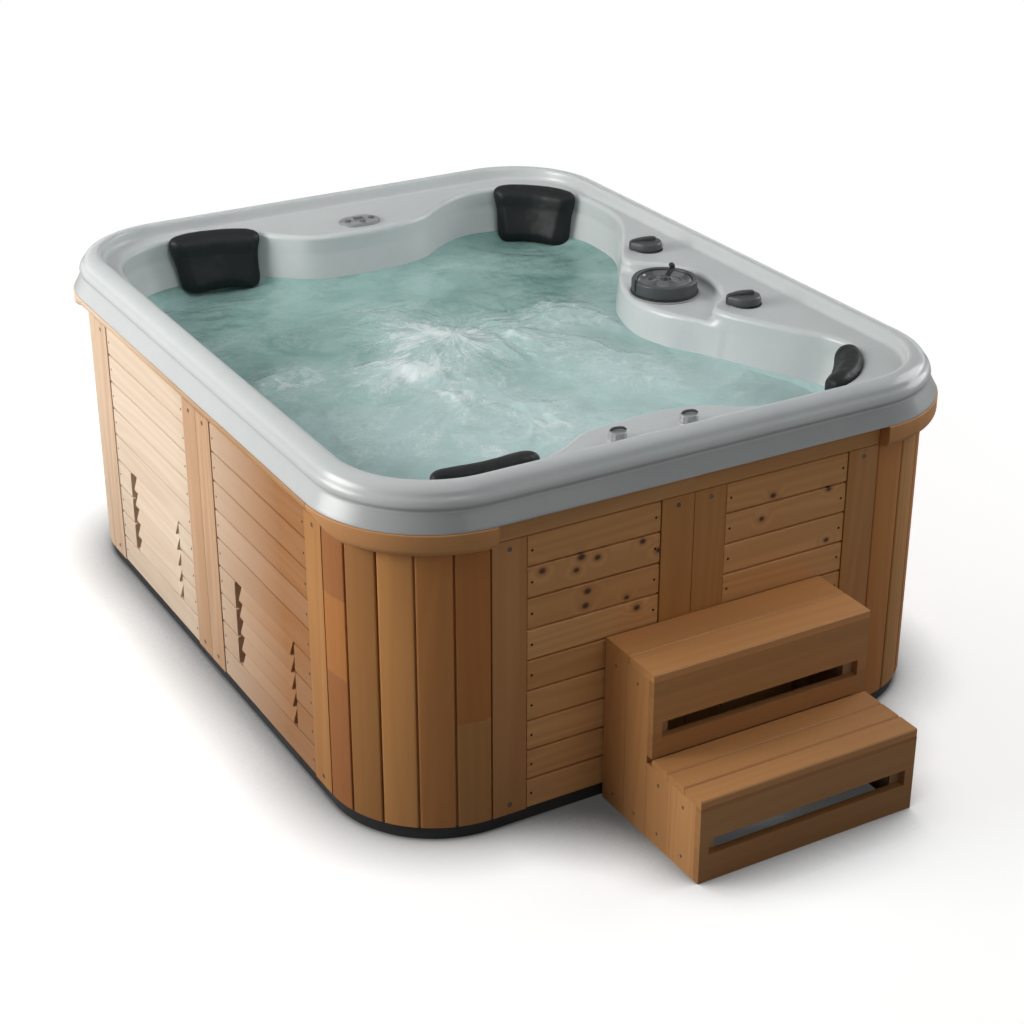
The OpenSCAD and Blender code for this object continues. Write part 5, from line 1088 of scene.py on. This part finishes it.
# The threads' own place: round the boil by angle, and drawn out three times along the way from it
at = np.zeros(len(water.data.vertices) * 3, np.float32)
water.data.vertices.foreach_get("co", at)
from_boil = at.reshape(-1, 3)[:, :2] - mounds[0, :2]
boil_far = np.linalg.norm(from_boil, axis=1)
around_boil = from_boil / np.maximum(boil_far, 0.001)[:, None] * 0.34
flow_layer = water.data.attributes.new("flow", "FLOAT_VECTOR", "POINT")
flow_layer.data.foreach_set("vector", np.column_stack([around_boil, boil_far / 3]).ravel().astype(np.float32))


def lively_water(name):
    """Milky turquoise water: deep and pale tones drift over it. Foam is a soft white where the attribute is
    high; threads of bubbles, the lines where warped noise crosses its middle, are drawn out from the boil."""
    material, shader, place = graph(name)
    foam_value = place.node("Attribute", out="Fac", attribute_name="foam")
    flow = place.node("Attribute", out="Vector", attribute_name="flow")
    bend_noise = place.node("TexNoise", {"Vector": place, "Scale": 5.0, "Detail": 5.0}, "Color")
    bend_by = bend_noise.vector("SUBTRACT", (0.5, 0.5, 0.5)).vector("SCALE", 0.26)
    bent = place.vector("ADD", bend_by)
    drawn = flow.vector("ADD", bend_by)

    def threads(where, scale, width, detail=5.0):
        """Thin lines on which a noise is a half, as wide as width in the noise's own measure."""
        return (where.noise(scale, detail) - 0.5).maths("ABSOLUTE").spread(width * 0.15, width, 1.0, 0.0)

    slow = bent.noise(3.4, 5.0, 0.58)
    torn = drawn.noise(17.0, 10.0, 0.68)
    cloud = bent.noise(9.0, 8.0, 0.60)
    fine = place.noise(150.0, 4.0, 0.6)
    patch = bent.noise(4.2, 3.0).spread(0.44, 0.60, 0.0, 1.0)
    near = (patch * 0.26 + foam_value.spread(0.10, 0.62, 0.0, 1.0)).least(1.0)
    web = threads(drawn, 7.0, 0.018).most(threads(drawn, 16.0, 0.030, 7.0) * 0.75)
    web = web.most(threads(bent, 26.0, 0.034, 6.0) * 0.55) * near * torn.spread(0.40, 0.56, 0.15, 1.0)
    mass = (foam_value * 0.9 + (torn - 0.5) * 2.2 + (cloud - 0.5) * 1.6).spread(0.52, 1.10, 0.0, 0.85)
    white = mass.most(web * 0.62) * fine.spread(0.3, 0.6, 0.85, 1.0)
    deep = slow.spread(0.32, 0.68, 0.0, 1.0).mix((0.160, 0.310, 0.275), (0.350, 0.540, 0.515))
    fore = place.vector("DOT_PRODUCT", (0.2, -1.0, 0)).spread(-0.15, 0.55, 0.0, 0.62)
    haze = (foam_value * 0.60 + cloud.spread(0.42, 0.75, 0.0, 0.25) + fore).least(0.9)
    tone = white.mix(haze.mix(deep, (0.54, 0.72, 0.715)), (0.88, 0.94, 0.94))
    ripple = drawn.noise(15.0, 6.0, 0.58) + mass * 0.35 + web * 0.12
    feed(shader, {"Base Color": tone, "Roughness": white.spread(0.0, 0.9, 0.13, 0.45), "IOR": 1.33,
                  "Normal": ripple.bump(0.55, 0.010)})
    return material


settle(water, lively_water("churning_water"), "tub", "acrylic")


# Studio: a white floor and backdrop, a large soft lamp at the left, one at the right, one overhead and two
# weak ones in front, and the camera that the boards, stiles and rim of the photograph give.
floor_mesh = bpy.data.meshes.new("studio_floor")
floor_mesh.from_pydata([(-5, -5, 0), (5, -5, 0), (5, 5, 0), (-5, 5, 0)], [], [(0, 1, 2, 3)])
floor = bpy.data.objects.new("studio_floor", floor_mesh)
bpy.context.scene.collection.objects.link(floor)
floor_paint, shader, place = graph("studio_white")
seen = place.node("LightPath", out="Is Camera Ray")
# The floor's colour and its glow both fall off where ambient occlusion finds the cabinet near: a painted
# contact shadow
open_sky = place.node("AmbientOcclusion", {"Distance": 0.30}, "AO", samples=16)
floor_painted_shadow = open_sky.spread(0.42, 0.88, 0.0, 1.0).mix((0.10, 0.10, 0.10), (0.62, 0.62, 0.62))
glow = seen * open_sky.spread(0.42, 0.88, 0.04, 0.62)
faded_edge = place.vector("LENGTH").spread(1.9, 3.4, 1.0, 0.0)
feed(shader, {"Base Color": seen.mix((0.36, 0.36, 0.36), floor_painted_shadow), "Roughness": 0.9, "Specular IOR Level": 0.0,
              "Emission Color": (1, 1, 1, 1), "Emission Strength": glow, "Alpha": faded_edge})
floor.data.materials.append(floor_paint)


def soft_lamp(name, place, aim, size, power, tint=(1, 1, 1), faded=False):
    """Square lamp at place that faces aim. A faded one loses strength from its middle out, so its mirror
    image has no edge."""
    data = bpy.data.lights.new(name, "AREA")
    data.shape = "RECTANGLE"
    data.size, data.size_y = size
    data.energy = power
    data.color = tint
    if faded:
        data.use_nodes = True
        glow = data.node_tree.nodes["Emission"]
        across = Wire(glow.outputs[0]).node("NewGeometry", out="Parametric")
        from_middle = across.vector("SUBTRACT", (0.5, 0.5, 0)).vector("LENGTH")
        feed(glow, {"Strength": from_middle.spread(0.12, 0.5, 2.9, 0.0)})
    lamp = bpy.data.objects.new(name, data)
    bpy.context.scene.collection.objects.link(lamp)
    lamp.location = place
    way = unit(np.array(aim, float) - place)
    lamp.rotation_euler = (math.acos(-way[2]), 0, math.atan2(-way[0], way[1]))
    return lamp


soft_lamp("window_left", (-4.6, 1.2, 2.5), (-0.3, 0.0, 0.5), (4.6, 3.8), 238, (1.0, 0.985, 0.96), faded=True)
soft_lamp("overhead", (0.0, 0.6, 4.6), (0, 0, 0.8), (5.0, 5.0), 35)
soft_lamp("front_fill", (1.0, -5.5, 3.4), (0, 0, 0.5), (3.0, 2.0), 23)
soft_lamp("high_front", (0.0, -2.3, 4.2), (0.0, 0.9, 0.8), (1.6, 1.6), 5).data.spread = math.radians(60)
soft_lamp("right_fill", (4.8, -0.6, 2.8), (0, 0, 0.5), (3.0, 3.0), 103)
world = bpy.data.worlds.new("studio")
world.use_nodes = True
ground = world.node_tree.nodes["Background"]
seen = Wire(ground.outputs[0]).node("LightPath", out="Is Camera Ray")
way = seen.node("TexCoord", out="Generated").parts()[2]
horizon = (way - 0.06).maths("ABSOLUTE").spread(0.05, 0.17, 1.0, 0.25)
shown = seen.most(seen.also("Is Glossy Ray") * horizon)
feed(ground, {"Color": (1, 1, 1, 1), "Strength": shown.spread(0.0, 1.0, 0.112, 1.0)})
bpy.context.scene.world = world

lens = bpy.data.cameras.new("photo_camera")
lens.lens = 72.27
lens.sensor_width = 36.0
camera = bpy.data.objects.new("photo_camera", lens)
bpy.context.scene.collection.objects.link(camera)
camera.location = (-2.4744, -4.4920, 2.7969)
camera.rotation_euler = (math.radians(63.734), 0, math.radians(-29.825))
bpy.context.scene.camera = camera
bpy.context.scene.view_settings.view_transform = "Standard"
